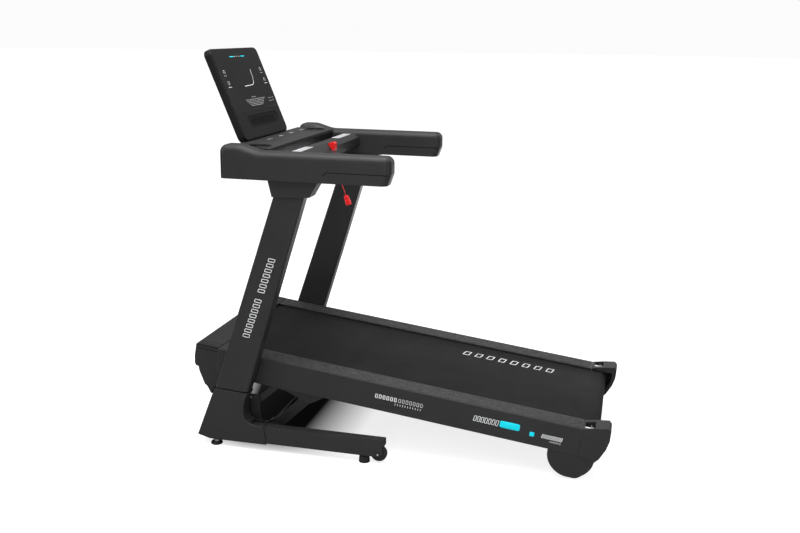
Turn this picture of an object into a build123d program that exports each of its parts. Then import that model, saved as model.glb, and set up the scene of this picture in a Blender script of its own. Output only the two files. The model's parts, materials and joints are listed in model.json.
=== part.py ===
from build123d import *
import os
from math import atan2, cos, degrees, hypot, pi, radians, sin

os.makedirs("parts", exist_ok=True)

# Millimetres. +Y runs to the console, +X to the user's right, +Z up. The origin is the middle of the
# footprint, on the floor. Deck sizes are given along the deck (s, forward from the point below the
# rear wheels) and square to the belt (n, up from the line through that point).

# ---- deck -------------------------------------------------------------------------------------
incline = 6.907
deck_foot_y = -640.075
belt_half = 260.0
foot_rail_width = 91.0
deck_half = belt_half + foot_rail_width
rail_top = 197.0
skirt_bottom = 97.0
skirt_wall = 4.0
rail_rear = -5.0
hood_rear = 1336.0
hood_front = 1431.0
belt_top = 190.0
belt_thick = 2.4
roller_radius = 24.0
rear_roller_s = -38.0
front_roller_s = 1352.0
belt_gap = 0.3
belt_slack = 0.1
board_thick = 20.0
board_reach = 38.0
board_half = belt_half + board_reach
frame_reach = 25.0
frame_width = 30.0
frame_inner = belt_half + frame_reach
frame_outer = frame_inner + frame_width
frame_low = 112.0
frame_high = 160.0
frame_rear = 20.0
frame_front = 1396.0
tube_wall = 2.5

# ---- base -------------------------------------------------------------------------------------
deck_clear = 6.0
boot_cover = 4.0
boot_inner = deck_half + deck_clear
boot_wall = 3.0
rail_inset = 22.0
rail_width = 32.0
rail_inner = boot_inner + rail_inset
rail_outer = rail_inner + rail_width
base_half = rail_outer + boot_cover
rail_low = 28.0
rail_high = 94.0
rail_end_y = 20.0
rail_front_y = 640.0
seam_y = 463.0
wheel_y = 36.0
wheel_z = 38.5
wheel_radius = 30.0
wheel_width = 20.0
pad_y = 90.0
foot_y = 662.0
foot_radius = 22.0
pivot_y = 465.0
pivot_z = 52.0
pivot_radius = 22.0

# ---- uprights, handrails and console ----------------------------------------------------------
upright_width = 54.0
upright_inner = boot_inner + 1.0
upright_outer = upright_inner + upright_width
grip_width = 76.0
handrail_inner = boot_inner
handrail_outer = handrail_inner + grip_width
handrail_low = 1003.0
handrail_high = 1099.0
handrail_front = 601.0
handrail_rear = -5.0
hump_high = 1119.0
shell = 3.0
crossbar_rear = 334.0
crossbar_front = 402.0
crossbar_low = 1027.0
crossbar_high = 1087.0
tray_rear = 447.0
tray_front = 604.0
tray_low = 1052.0
tray_high = 1102.0
cup_wall = 18.0
cup_y = 507.0
cup_radius = 39.0
cup_x = handrail_inner - cup_wall - cup_radius
cup_depth = 62.0
cup_lip = 4.0
console_foot_y = 588.0
console_foot_z = 1104.0
console_length = 353.0
console_width = 432.0
console_thick = 31.0
console_lean = 22.6
console_corner = 25.0
glass_low = 112.0
glass_thick = 3.0
key_count = 4
key_pitch = 115.0
key_x = -111.0
key_y = 541.0
key_length = 44.0
key_width = 17.0
key_height = 7.0
key_travel = 1.5
panel_left = -140.0
panel_right = cup_x - cup_radius + 1.0
panel_length = panel_right - panel_left
panel_x = (panel_left + panel_right) / 2
panel_width = 30.0

# ---- linkage ----------------------------------------------------------------------------------
arm_pin_s = 980.0
arm_pin_n = 70.0
fold_pin_s = 1375.0
fold_pin_n = 110.0
pin_radius = 8.0
pin_clear = 0.05
arm_inner = frame_inner + 1.0
arm_width = 25.0
arm_height = 36.0
plate_gap = 3.0
cradle_inner = frame_outer + 2.0
cradle_thick = 8.0
link_inner = cradle_inner + cradle_thick + plate_gap
link_thick = 6.0
link_y = 530.0
link_z = 150.0
link_length = 179.0
link_angle = 138.5
bracket_inner = link_inner + link_thick + plate_gap
bracket_thick = 6.0
cradle_tube_s = 1210.0
cradle_tube_n = 97.0
cradle_tube = 26.0
strut_x = -150.0
strut_foot_s = 1180.0
strut_top_s = 560.0
strut_n = 100.0
motor_pin_s = 1180.0
motor_pin_n = 100.0
lever_length = 60.0
lever_angle = 60.0
side_gap = 0.5

tilt = radians(incline)
up_deck = (0, cos(tilt), sin(tilt))
down_deck = (0, -cos(tilt), -sin(tilt))
out_of_deck = (0, -sin(tilt), cos(tilt))


def deck_side(x):
    """Side plane of the deck at x: its first axis runs up the deck, its second out of the belt."""
    return Plane(origin=(x, deck_foot_y, 0), x_dir=up_deck, z_dir=(1, 0, 0))


def side(x):
    """Upright side plane at x: its axes are +Y and +Z."""
    return Plane(origin=(x, 0, 0), x_dir=(0, 1, 0), z_dir=(1, 0, 0))


def on_deck(s, n):
    """Where a point of the deck is, as (y, z)."""
    return deck_foot_y + s * cos(tilt) - n * sin(tilt), s * sin(tilt) + n * cos(tilt)


def deck_section(s):
    """Plane square to the deck at s, seen from the console: its axes are +X and n."""
    return Plane(origin=(0, *on_deck(s, 0)), x_dir=(1, 0, 0), z_dir=down_deck)


def outline(plane, points, corner=0):
    """A flat face with these corners, each rounded."""
    with BuildSketch(plane) as face:
        with BuildLine():
            Polyline(*points, close=True)
        make_face()
        if corner:
            fillet(face.vertices(), corner)
    return face.sketch


def ring(plane, centre, outer, inner=0):
    """A flat disc, or a ring where it has an inner radius."""
    with BuildSketch(plane) as face:
        with Locations(centre):
            Circle(outer)
            if inner:
                Circle(inner, mode=Mode.SUBTRACT)
    return face.sketch


def block(plane, low, high, corner=0):
    """A flat rectangle between two corners, each rounded."""
    (a, b), (c, d) = low, high
    return outline(plane, [(a, b), (c, b), (c, d), (a, d)], corner)


def save(part, name):
    """Label a finished piece and write it."""
    part.label = name
    export_step(part, f"parts/{name}.step")


# ================================ base ==========================================================
# Two box-section rails on the floor, a round cross tube that the lift frame turns on, and boots.
rail_outline = [
    (rail_end_y, rail_high),
    (rail_front_y, rail_high),
    (rail_front_y, rail_low),
    (rail_end_y + 14, rail_low),
    (rail_end_y, rail_low + 16),
]
slot_half = wheel_width / 2 + 2
rail_mid = (rail_inner + rail_outer) / 2
with BuildPart() as base_rails:
    extrude(outline(side(rail_inner), rail_outline), amount=rail_width)
    inside = block(
        side(rail_inner + tube_wall),
        (rail_end_y - 1, rail_low + tube_wall),
        (rail_front_y + 1, rail_high - tube_wall),
    )
    extrude(inside, amount=rail_width - 2 * tube_wall, mode=Mode.SUBTRACT)
    wheel_slot = block(side(rail_mid - slot_half), (0, 0), (wheel_y + wheel_radius + 5, rail_low + 20))
    extrude(wheel_slot, amount=2 * slot_half, mode=Mode.SUBTRACT)
    axle_hole = ring(side(rail_inner - 1), (wheel_y, wheel_z), 5)
    extrude(axle_hole, amount=rail_width + 2, mode=Mode.SUBTRACT)
    tube_hole = ring(side(rail_inner - 1), (pivot_y, pivot_z), pivot_radius)
    extrude(tube_hole, amount=rail_width - tube_wall + 1, mode=Mode.SUBTRACT)
    mirror(about=Plane.YZ)
save(base_rails.part, "base_rails")

with BuildPart() as rail_end_caps:
    cap_face = block(side(rail_inner), (rail_end_y - 6, 70), (rail_end_y, rail_high))
    extrude(cap_face, amount=rail_width)
    plug = block(side(rail_inner + tube_wall + 0.3), (rail_end_y, 71), (rail_end_y + 18, 90))
    extrude(plug, amount=rail_width - 2 * tube_wall - 0.6)
    mirror(about=Plane.YZ)
save(rail_end_caps.part, "rail_end_caps")

with BuildPart() as base_cross_tube:
    extrude(
        ring(side(-rail_outer + tube_wall), (pivot_y, pivot_z), pivot_radius, pivot_radius - 3),
        amount=2 * (rail_outer - tube_wall),
    )
save(base_cross_tube.part, "base_cross_tube")

with BuildPart() as rear_pads:
    for x in (-rail_mid, rail_mid):
        with BuildSketch(Plane.XY):
            with Locations((x, pad_y)):
                Circle(20)
        extrude(amount=22, taper=4)
        with BuildSketch(Plane.XY.offset(22)):
            with Locations((x, pad_y)):
                Circle(7)
        extrude(amount=rail_low - 22)
save(rear_pads.part, "rear_pads")

for name, sign in (("left", -1), ("right", 1)):
    with BuildPart() as foot:
        with BuildSketch(Plane.XY):
            with Locations((sign * rail_mid, foot_y)):
                Circle(foot_radius)
        extrude(amount=9, taper=8)
        with BuildSketch(Plane.XY.offset(9)):
            with Locations((sign * rail_mid, foot_y)):
                RegularPolygon(12, 6)
        extrude(amount=8)
        with BuildSketch(Plane.XY.offset(17)):
            with Locations((sign * rail_mid, foot_y)):
                Circle(5)
        extrude(amount=40)
    save(foot.part, f"front_foot_{name}")

    with BuildPart() as wheel:
        face = ring(
            side(sign * rail_mid - wheel_width / 2), (wheel_y, wheel_z), wheel_radius, 5 + pin_clear
        )
        extrude(face, amount=wheel_width)
        rim = wheel.edges().filter_by(GeomType.CIRCLE).group_by(SortBy.RADIUS)[-1]
        fillet(rim, 4)
    save(wheel.part, f"transport_wheel_{name}")

# The boot covers the joint of rail and upright: a shell, open below, with a window for the rail.
boot_front = (728.0, 37.0)
boot_toe = (680.0, 24.0)
boot_seam_low = (seam_y - 4, 25.0)
boot_seam_high = (seam_y + 6, 98.0)
boot_top_rear = (525.0, 215.0)
boot_top_front = (655.0, 225.0)
with BuildPart() as boots:
    with BuildSketch(side(boot_inner)):
        with BuildLine():
            Polyline(boot_top_front, boot_front, boot_toe, boot_seam_low, boot_seam_high)
            Spline(
                boot_seam_high,
                (518.0, 101.0),
                (540.0, 119.0),
                (544.0, 146.0),
                (538.0, 188.0),
                boot_top_rear,
            )
            Line(boot_top_rear, boot_top_front)
        make_face()
    extrude(amount=base_half - boot_inner)
    outer_faces = boots.faces().filter_by(Axis.X)
    fillet(outer_faces.edges().filter_by(GeomType.BSPLINE), 3)
    with BuildSketch(side(boot_inner + boot_wall)):
        with BuildLine():
            Polyline(
                (651.0, 221.0),
                (722.0, 40.0),
                (720.0, 10.0),
                (seam_y + 10, 10.0),
                (seam_y + 10, 97.0),
                (530.0, 103.0),
                (549.0, 130.0),
                (546.0, 170.0),
                (530.0, 212.0),
                close=True,
            )
        make_face()
    extrude(amount=base_half - boot_inner - 2 * boot_wall, mode=Mode.SUBTRACT)
    rail_window = block(
        side(rail_inner - 1), (seam_y - 20, rail_low - 1), (seam_y + 20, rail_high + 1)
    )
    extrude(rail_window, amount=rail_outer - rail_inner + 1.5, mode=Mode.SUBTRACT)
    tongue_room = block(side(boot_inner + 8), (535, 200), (645, 240))
    extrude(tongue_room, amount=40, mode=Mode.SUBTRACT)
    foot_room = block(side(boot_inner - 1), (497, 20), (573, 71))
    extrude(foot_room, amount=boot_wall + 2, mode=Mode.SUBTRACT)
    tube_room = ring(side(boot_inner - 1), (pivot_y, pivot_z), pivot_radius + 1)
    extrude(tube_room, amount=rail_outer - boot_inner + 1, mode=Mode.SUBTRACT)
    mirror(about=Plane.YZ)
save(boots.part, "boots")

# ================================ uprights and handrails =======================================
upright_outline = [(654.0, 228.0), (396.0, 1001.0), (287.0, 1001.0), (527.0, 220.0)]
tongue_outline = [(640.0, 100.0), (640.0, 232.0), (545.0, 226.0), (556.0, 100.0)]
upright_width = upright_outer - upright_inner
with BuildPart() as uprights:
    extrude(outline(side(upright_inner), upright_outline), amount=upright_width)
    long_edges = uprights.edges().filter_by(lambda e: e.length > 700)
    fillet(long_edges, 9)
    hollow = [(646.0, 224.0), (392.0, 1006.0), (292.0, 1006.0), (534.0, 218.0)]
    extrude(
        outline(side(upright_inner + 3), hollow), amount=upright_width - 6, mode=Mode.SUBTRACT
    )
    extrude(outline(side(boot_inner + 9), tongue_outline), amount=3)
    extrude(outline(side(400), tongue_outline), amount=3)
    web = [(640.0, 227.0), (640.0, 232.0), (548.0, 226.5), (548.0, 220.0)]
    extrude(outline(side(upright_inner + 2), web), amount=upright_width - 4)
    mirror(about=Plane.YZ)
save(uprights.part, "uprights")

collar_outline = [(430.0, 1002.5), (250.0, 1002.5), (281.0, 949.0), (416.0, 945.0)]
with BuildPart() as upright_collars:
    extrude(outline(side(upright_inner - 0.5), collar_outline, 2), amount=upright_width + 7)
    around = [(656.3, 228.0), (396.3, 1007.0), (284.3, 1007.0), (524.3, 220.0)]
    extrude(
        outline(side(upright_inner - 2), around), amount=upright_width + 2.5, mode=Mode.SUBTRACT
    )
    mirror(about=Plane.YZ)
save(upright_collars.part, "upright_collars")

handrail_width = handrail_outer - handrail_inner
cap_y = 22.0
crown_radius = 22.0


def crown_edges(builder):
    """The edges that run along the top of a handrail piece, on both of its sides."""
    level = handrail_high - 10
    return builder.edges().filter_by(
        lambda e: e.center().Z > level and abs((e @ 0).X - (e @ 1).X) < 1 and e.length > 0.5
    )


with BuildPart() as handrails:
    with BuildSketch(side(handrail_inner)) as handrail_face:
        with BuildLine():
            Polyline(
                (cap_y, handrail_high),
                (464.0, handrail_high),
                (530.0, hump_high),
                (handrail_front, hump_high),
                (handrail_front, handrail_low),
                (cap_y, handrail_low),
                close=True,
            )
        make_face()
        for near, radius in ((464.0, 120), (530.0, 90), (handrail_front, 28)):
            top = handrail_face.vertices().filter_by(lambda v: v.Y > handrail_high - 9)
            fillet(top.sort_by(lambda v: abs(v.X - near))[0], radius)
    extrude(amount=handrail_width)
    fillet(crown_edges(handrails), crown_radius)
    room = block(
        side(handrail_inner + shell), (cap_y - 1, handrail_low + shell), (595, handrail_high - 12)
    )
    extrude(room, amount=handrail_width - 2 * shell, mode=Mode.SUBTRACT)
    groove = block(side(handrail_outer - 1), (cap_y, 1038), (219, 1041))
    extrude(groove, amount=2, mode=Mode.SUBTRACT)
    mirror(about=Plane.YZ)
save(handrails.part, "handrails")

with BuildPart() as handrail_end_caps:
    with BuildSketch(side(handrail_inner)) as cap_face:
        with BuildLine():
            Polyline(
                (cap_y, handrail_low),
                (cap_y, handrail_high),
                (handrail_rear, handrail_high),
                (handrail_rear, 1040.0),
                (8.0, handrail_low),
                close=True,
            )
        make_face()
        for level, radius in ((1040.0, 30), (handrail_high, 25)):
            tip = cap_face.vertices().sort_by(lambda v: abs(v.X - handrail_rear) + abs(v.Y - level))
            fillet(tip[0], radius)
    extrude(amount=handrail_width)
    fillet(crown_edges(handrail_end_caps), crown_radius)
    mirror(about=Plane.YZ)
save(handrail_end_caps.part, "handrail_end_caps")

bar_inner = handrail_inner + 20
with BuildPart() as handrail_bars:
    bar = block(side(bar_inner), (40, 1016), (590, 1066), 4)
    extrude(bar, amount=36)
    bore = block(side(bar_inner + tube_wall), (38, 1016 + tube_wall), (592, 1066 - tube_wall))
    extrude(bore, amount=36 - 2 * tube_wall, mode=Mode.SUBTRACT)
    mirror(about=Plane.YZ)
save(handrail_bars.part, "handrail_bars")

socket_half = 17.0
with BuildPart() as crossbar:
    crossbar_outline = [
        (crossbar_rear, crossbar_low + 12),
        (crossbar_rear + 12, crossbar_low),
        (crossbar_front - 8, crossbar_low),
        (crossbar_front, crossbar_low + 10),
        (crossbar_front, crossbar_high - 12),
        (crossbar_front - 14, crossbar_high),
        (crossbar_rear + 20, crossbar_high),
        (crossbar_rear, crossbar_high - 16),
    ]
    extrude(outline(side(-handrail_inner), crossbar_outline, 5), amount=2 * handrail_inner)
    cavity = block(
        side(-handrail_inner + shell),
        (crossbar_rear + 8, crossbar_low + 6),
        (crossbar_front - 6, crossbar_high - 22),
        4,
    )
    extrude(cavity, amount=2 * (handrail_inner - shell), mode=Mode.SUBTRACT)
    socket = block(side(-socket_half), (crossbar_rear - 1, 1064), (crossbar_rear + 13, 1090))
    extrude(socket, amount=2 * socket_half, mode=Mode.SUBTRACT)
    for low, high in ((-307.0, -154.0), (154.0, 307.0)):
        seat = block(side(low), (crossbar_rear + 21, crossbar_high - 3), (crossbar_front - 15, 1090))
        extrude(seat, amount=high - low, mode=Mode.SUBTRACT)
save(crossbar.part, "crossbar")

with BuildPart() as pulse_plates:
    for low in (-306.5, 154.5):
        plate = block(
            side(low), (crossbar_rear + 21.5, crossbar_high - 3), (crossbar_front - 15.5, 1088.2), 1
        )
        extrude(plate, amount=152)
save(pulse_plates.part, "pulse_plates")

# ================================ tray, keys and console =======================================
lean = radians(console_lean)
console_plane = Plane(
    origin=(0, console_foot_y, console_foot_z),
    x_dir=(1, 0, 0),
    z_dir=(0, -cos(lean), sin(lean)),
)
console_mid = console_length / 2
with BuildPart() as tray:
    tray_outline = [
        (tray_rear, tray_high),
        (tray_rear, tray_high - 12),
        (tray_rear + 12, tray_low),
        (tray_front, tray_low),
        (tray_front, tray_high),
    ]
    extrude(outline(side(-handrail_inner), tray_outline, 3), amount=2 * handrail_inner)
    under = block(
        side(-handrail_inner + 4), (tray_rear + 16, tray_low - 1), (tray_front - 4, tray_high - 8)
    )
    extrude(under, amount=2 * (handrail_inner - 4), mode=Mode.SUBTRACT)
    with BuildSketch(console_plane.offset(1)):
        with Locations((0, console_mid)):
            Rectangle(console_width + 2, console_length + 1)
    extrude(amount=-console_thick - 2, mode=Mode.SUBTRACT)
    with BuildSketch(Plane.XY.offset(tray_high - 12)):
        with Locations((-cup_x, cup_y), (cup_x, cup_y)):
            Circle(cup_radius + 3.5)
    extrude(amount=20, mode=Mode.SUBTRACT)
    with BuildSketch(Plane.XY.offset(tray_high - 5)):
        with Locations((panel_x, key_y)):
            SlotOverall(panel_length, panel_width)
    extrude(amount=6, mode=Mode.SUBTRACT)
    with BuildSketch(Plane.XY.offset(tray_low)):
        with Locations(*((key_x + key_pitch * i, key_y) for i in range(key_count))):
            SlotOverall(key_length - 6, key_width - 6)
    extrude(amount=60, mode=Mode.SUBTRACT)
save(tray.part, "tray")

with BuildPart() as cup_holders:
    with BuildSketch(Plane.XY.offset(tray_high - cup_depth)):
        with Locations((-cup_x, cup_y), (cup_x, cup_y)):
            Circle(cup_radius + 3)
    extrude(amount=cup_depth + 0.5)
    with BuildSketch(Plane.XY.offset(tray_high + 0.5)):
        with Locations((-cup_x, cup_y), (cup_x, cup_y)):
            Circle(cup_radius + 3 + cup_lip)
    extrude(amount=2)
    with BuildSketch(Plane.XY.offset(tray_high - cup_depth + 3)):
        with Locations((-cup_x, cup_y), (cup_x, cup_y)):
            Circle(cup_radius)
    extrude(amount=cup_depth + 5, mode=Mode.SUBTRACT)
save(cup_holders.part, "cup_holders")

# The key panel fills the recess of the tray; each key stands in its own window and its stem
# goes down through the tray.
with BuildPart() as key_panel:
    with BuildSketch(Plane.XY.offset(tray_high - 5)):
        with Locations((panel_x, key_y)):
            SlotOverall(panel_length - 1, panel_width - 1)
        with Locations(*((key_x + key_pitch * i, key_y) for i in range(key_count))):
            SlotOverall(key_length + 1, key_width + 1, mode=Mode.SUBTRACT)
    extrude(amount=5.5)
save(key_panel.part, "key_panel")

key_names = ("slower", "stop", "start", "faster")
for i, name in enumerate(key_names):
    with BuildPart() as key:
        with BuildSketch(Plane.XY.offset(tray_high - 5 + key_travel + 0.3)):
            with Locations((key_x + key_pitch * i, key_y)):
                SlotOverall(key_length, key_width)
        extrude(amount=key_height)
        fillet(key.edges().group_by(Axis.Z)[-1], 1.5)
        with BuildSketch(Plane.XY.offset(tray_high - 12)):
            with Locations((key_x + key_pitch * i, key_y)):
                SlotOverall(key_length - 8, key_width - 8)
        extrude(amount=10)
    save(key.part, f"key_{name}")

with BuildPart() as console_housing:
    with BuildSketch(console_plane.offset(-console_thick)):
        with Locations((0, console_mid)):
            RectangleRounded(console_width, console_length, console_corner)
    extrude(amount=console_thick)
    fillet(console_housing.faces().sort_by(Axis.Y)[-1].edges(), 8)
    with BuildSketch(console_plane.offset(-console_thick + 3)):
        with Locations((0, console_mid)):
            RectangleRounded(console_width - 12, console_length - 12, console_corner - 6)
    extrude(amount=console_thick - 7, mode=Mode.SUBTRACT)
    with BuildSketch(console_plane.offset(-glass_thick)):
        with Locations((0, (glass_low + console_length - 4) / 2)):
            RectangleRounded(console_width - 8, console_length - 4 - glass_low, console_corner - 4)
    extrude(amount=glass_thick + 1, mode=Mode.SUBTRACT)
    with BuildSketch(console_plane.offset(-8)):
        with Locations((15, 65)):
            SlotOverall(300, 48)
    extrude(amount=10, mode=Mode.SUBTRACT)
save(console_housing.part, "console_housing")

with BuildPart() as console_glass:
    with BuildSketch(console_plane.offset(-glass_thick)):
        with Locations((0, (glass_low + console_length - 4) / 2)):
            RectangleRounded(console_width - 8.6, console_length - 4.6 - glass_low, console_corner - 4.3)
    extrude(amount=glass_thick)
save(console_glass.part, "console_glass")

with BuildPart() as console_grille:
    with BuildSketch(console_plane.offset(-5)):
        with Locations((15, 65)):
            SlotOverall(299.4, 47.4)
        with Locations((15, 65)):
            with GridLocations(12, 1, 20, 1):
                SlotOverall(30, 5, rotation=90, mode=Mode.SUBTRACT)
    extrude(amount=3)
save(console_grille.part, "console_grille")

with BuildPart() as display_module:
    with BuildSketch(console_plane.offset(-console_thick + 6)):
        with Locations((0, 235)):
            Rectangle(340, 190)
    extrude(amount=16)
save(display_module.part, "display_module")

# ================================ safety key and lanyard =======================================
with BuildPart() as safety_key:
    key_body = [
        (crossbar_rear - 14, 1060.0),
        (crossbar_rear - 2, 1060.0),
        (crossbar_rear - 2, 1066.0),
        (crossbar_rear + 10, 1066.0),
        (crossbar_rear + 10, 1088.0),
        (crossbar_rear - 8, 1091.0),
        (crossbar_rear - 14, 1086.0),
    ]
    extrude(outline(side(-14), key_body, 2), amount=28)
save(safety_key.part, "safety_key")

cord_radius = 1.5
cord_route = [
    (0.0, 324.5, 1060.0),
    (-0.5, 323.0, 1042.0),
    (-1.0, 318.0, 1018.0),
    (-1.0, 311.0, 990.0),
    (0.0, 304.0, 962.0),
    (1.0, 298.0, 936.0),
    (1.0, 290.0, 912.0),
    (0.5, 281.5, 889.0),
]
runs = [Vector(*b) - Vector(*a) for a, b in zip(cord_route, cord_route[1:])]
bends = []
for before, after in zip(runs, runs[1:]):
    turn = radians(before.get_angle(after))
    bends.append(0.45 * min(before.length, after.length) / max(sin(turn / 2) / cos(turn / 2), 1e-6))
with BuildPart() as lanyard:
    with BuildLine():
        FilletPolyline(*cord_route, radius=bends)
    with BuildSketch(Plane(origin=cord_route[0], z_dir=runs[0].normalized())):
        Circle(cord_radius)
    sweep()
save(lanyard.part, "lanyard")

clip_plane = Plane(origin=cord_route[-1], x_dir=(1, 0, 0), z_dir=runs[-1].normalized())
with BuildPart() as lanyard_clip:
    with BuildSketch(clip_plane):
        RectangleRounded(8, 12, 2)
    with BuildSketch(clip_plane.offset(12)):
        RectangleRounded(11, 22, 4)
    loft()
    with BuildSketch(clip_plane.offset(12)):
        RectangleRounded(11, 22, 4)
    extrude(amount=32)
    with BuildSketch(clip_plane.offset(44)):
        RectangleRounded(8, 14, 3)
    extrude(amount=4)
save(lanyard_clip.part, "lanyard_clip")

# ================================ lift frame ===================================================
pin_y, pin_z = on_deck(arm_pin_s, arm_pin_n)
arm_length = hypot(pin_y - pivot_y, pin_z - pivot_z)
arm_angle = atan2(pin_z - pivot_z, pin_y - pivot_y)
arm_dir = (0, cos(arm_angle), sin(arm_angle))


def arm_side(x):
    """Side plane of the lift arms: it starts on the cross tube and its first axis runs to the pin."""
    return Plane(origin=(x, pivot_y, pivot_z), x_dir=arm_dir, z_dir=(1, 0, 0))


def from_pin(distance, angle):
    """A point this far from the arm's pin, at this angle from the way back to the cross tube."""
    a = radians(angle)
    return arm_length - distance * cos(a), -distance * sin(a)


lever_s, lever_n = from_pin(lever_length, lever_angle)
sleeve_radius = 30.0
with BuildPart() as lift_frame:
    for x in (-arm_inner - arm_width, arm_inner):
        extrude(
            block(arm_side(x), (20, -arm_height / 2), (arm_length, arm_height / 2)),
            amount=arm_width,
        )
        extrude(ring(arm_side(x), (arm_length, 0), arm_height / 2), amount=arm_width)
        extrude(ring(arm_side(x), (0, 0), sleeve_radius), amount=arm_width)
    cross = block(arm_side(-arm_inner), (arm_length - 66, -13), (arm_length - 38, 13))
    extrude(cross, amount=2 * arm_inner)
    for x in (-19, 13):
        lever = [
            (arm_length - 66, 12),
            (arm_length - 66, -13),
            (lever_s - 11, lever_n - 6),
            (lever_s, lever_n - 12),
            (lever_s + 11, lever_n + 6),
            (arm_length - 38, 12),
        ]
        extrude(outline(arm_side(x), lever, 2), amount=6)
    across = 2 * (arm_inner + arm_width) + 2
    extrude(
        ring(arm_side(-across / 2), (0, 0), pivot_radius + pin_clear),
        amount=across,
        mode=Mode.SUBTRACT,
    )
    for x in (-across / 2, arm_inner - 1):
        extrude(
            ring(arm_side(x), (arm_length, 0), pin_radius + pin_clear),
            amount=arm_width + 2,
            mode=Mode.SUBTRACT,
        )
save(lift_frame.part, "lift_frame")

# ================================ cradle =======================================================
pin_reach = cradle_inner + cradle_thick
link_dir = radians(link_angle)
link_end_y = link_y + link_length * cos(link_dir)
link_end_z = link_z + link_length * sin(link_dir)
link_s = (link_end_y - deck_foot_y) * cos(tilt) + link_end_z * sin(tilt)
link_n = -(link_end_y - deck_foot_y) * sin(tilt) + link_end_z * cos(tilt)
plate_outline = [
    (arm_pin_s - 62, arm_pin_n + 18),
    (arm_pin_s - 10, arm_pin_n - 20),
    (arm_pin_s + 22, arm_pin_n - 14),
    (arm_pin_s + 90, arm_pin_n + 8),
    (fold_pin_s + 4, fold_pin_n - 20),
    (fold_pin_s + 20, fold_pin_n),
    (fold_pin_s + 4, fold_pin_n + 20),
    (link_s + 40, fold_pin_n + 18),
    (link_s + 16, link_n + 16),
    (link_s - 16, link_n + 16),
]
tube_half = cradle_tube / 2
with BuildPart() as cradle:
    for x in (-pin_reach, cradle_inner):
        extrude(outline(deck_side(x), plate_outline, 6), amount=cradle_thick)
        extrude(
            ring(deck_side(x), (arm_pin_s, arm_pin_n), pin_radius),
            amount=cradle_thick,
            mode=Mode.SUBTRACT,
        )
        for s, n, r in (
            (fold_pin_s, fold_pin_n, pin_radius),
            (link_s, link_n, 9),
        ):
            extrude(ring(deck_side(x), (s, n), r), amount=cradle_thick, mode=Mode.SUBTRACT)
    across = block(
        deck_side(-cradle_inner),
        (cradle_tube_s - tube_half, cradle_tube_n - tube_half),
        (cradle_tube_s + tube_half, cradle_tube_n + tube_half),
    )
    extrude(across, amount=2 * cradle_inner)
    for x, s in (
        (strut_x - 15, strut_foot_s),
        (strut_x + 10, strut_foot_s),
        (-27, motor_pin_s),
        (22, motor_pin_s),
    ):
        ear = [
            (cradle_tube_s, cradle_tube_n - 11),
            (s, strut_n - 12),
            (s - 12, strut_n),
            (s, strut_n + 9),
            (cradle_tube_s, cradle_tube_n + 12),
        ]
        extrude(outline(deck_side(x), ear, 2), amount=5)
    for x, s, n, reach in (
        (strut_x - 16, strut_foot_s, strut_n, 32),
        (-28, motor_pin_s, motor_pin_n, 56),
    ):
        extrude(ring(deck_side(x), (s, n), 5), amount=reach, mode=Mode.SUBTRACT)
save(cradle.part, "cradle")

with BuildPart() as cradle_pins:
    for x in (-pin_reach, arm_inner):
        extrude(
            ring(deck_side(x), (arm_pin_s, arm_pin_n), pin_radius), amount=pin_reach - arm_inner
        )
    for x in (-cradle_inner - cradle_thick - 2, frame_outer - 12):
        extrude(ring(deck_side(x), (fold_pin_s, fold_pin_n), pin_radius), amount=24)
    extrude(ring(deck_side(strut_x - 16), (strut_foot_s, strut_n), 5), amount=32)
    extrude(ring(deck_side(-28), (motor_pin_s, motor_pin_n), 5), amount=56)
save(cradle_pins.part, "cradle_pins")

# ================================ incline links and their brackets =============================
bracket_high = 187.0
bracket_bolt_y = 546.0
bracket_bolt_z = 175.0
bracket_outline = [
    (500.0, 34.0),
    (566.0, 34.0),
    (566.0, 140.0),
    (560.0, 176.0),
    (549.0, bracket_high),
    (520.0, bracket_high),
    (511.0, 176.0),
    (508.0, 120.0),
]
with BuildPart() as link_brackets:
    extrude(outline(side(bracket_inner), bracket_outline, 5), amount=bracket_thick)
    foot = block(side(bracket_inner + bracket_thick), (502, 34), (566, 66))
    extrude(foot, amount=rail_inner - bracket_inner - bracket_thick)
    extrude(ring(side(bracket_inner - 1), (link_y, link_z), 7), amount=8, mode=Mode.SUBTRACT)
    mirror(about=Plane.YZ)
save(link_brackets.part, "link_brackets")


def link_side(x):
    """Side plane of the incline links: it starts on their lower pin."""
    return Plane(
        origin=(x, link_y, link_z), x_dir=(0, cos(link_dir), sin(link_dir)), z_dir=(1, 0, 0)
    )


with BuildPart() as incline_links:
    extrude(block(link_side(link_inner), (0, -11), (link_length, 11)), amount=link_thick)
    for s in (0, link_length):
        extrude(ring(link_side(link_inner), (s, 0), 14), amount=link_thick)
    extrude(
        ring(link_side(link_inner), (0, 0), 7 + pin_clear), amount=link_thick, mode=Mode.SUBTRACT
    )
    mirror(about=Plane.YZ)
save(incline_links.part, "incline_links")

# ================================ fold strut ===================================================
strut_rest = strut_foot_s - strut_top_s
cylinder_length = 0.62 * strut_rest
with BuildPart() as strut_cylinder:
    tube_plane = Plane(
        origin=(strut_x, *on_deck(strut_foot_s - 14, strut_n)), x_dir=(1, 0, 0), z_dir=down_deck
    )
    with BuildSketch(tube_plane):
        Circle(12)
    extrude(amount=cylinder_length)
    with BuildSketch(tube_plane.offset(12)):
        Circle(9.5)
    extrude(amount=cylinder_length, mode=Mode.SUBTRACT)
    extrude(ring(deck_side(strut_x - 8), (strut_foot_s, strut_n), 15), amount=16)
    extrude(
        ring(deck_side(strut_x - 9), (strut_foot_s, strut_n), 5 + pin_clear),
        amount=18,
        mode=Mode.SUBTRACT,
    )
save(strut_cylinder.part, "strut_cylinder")

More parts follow.
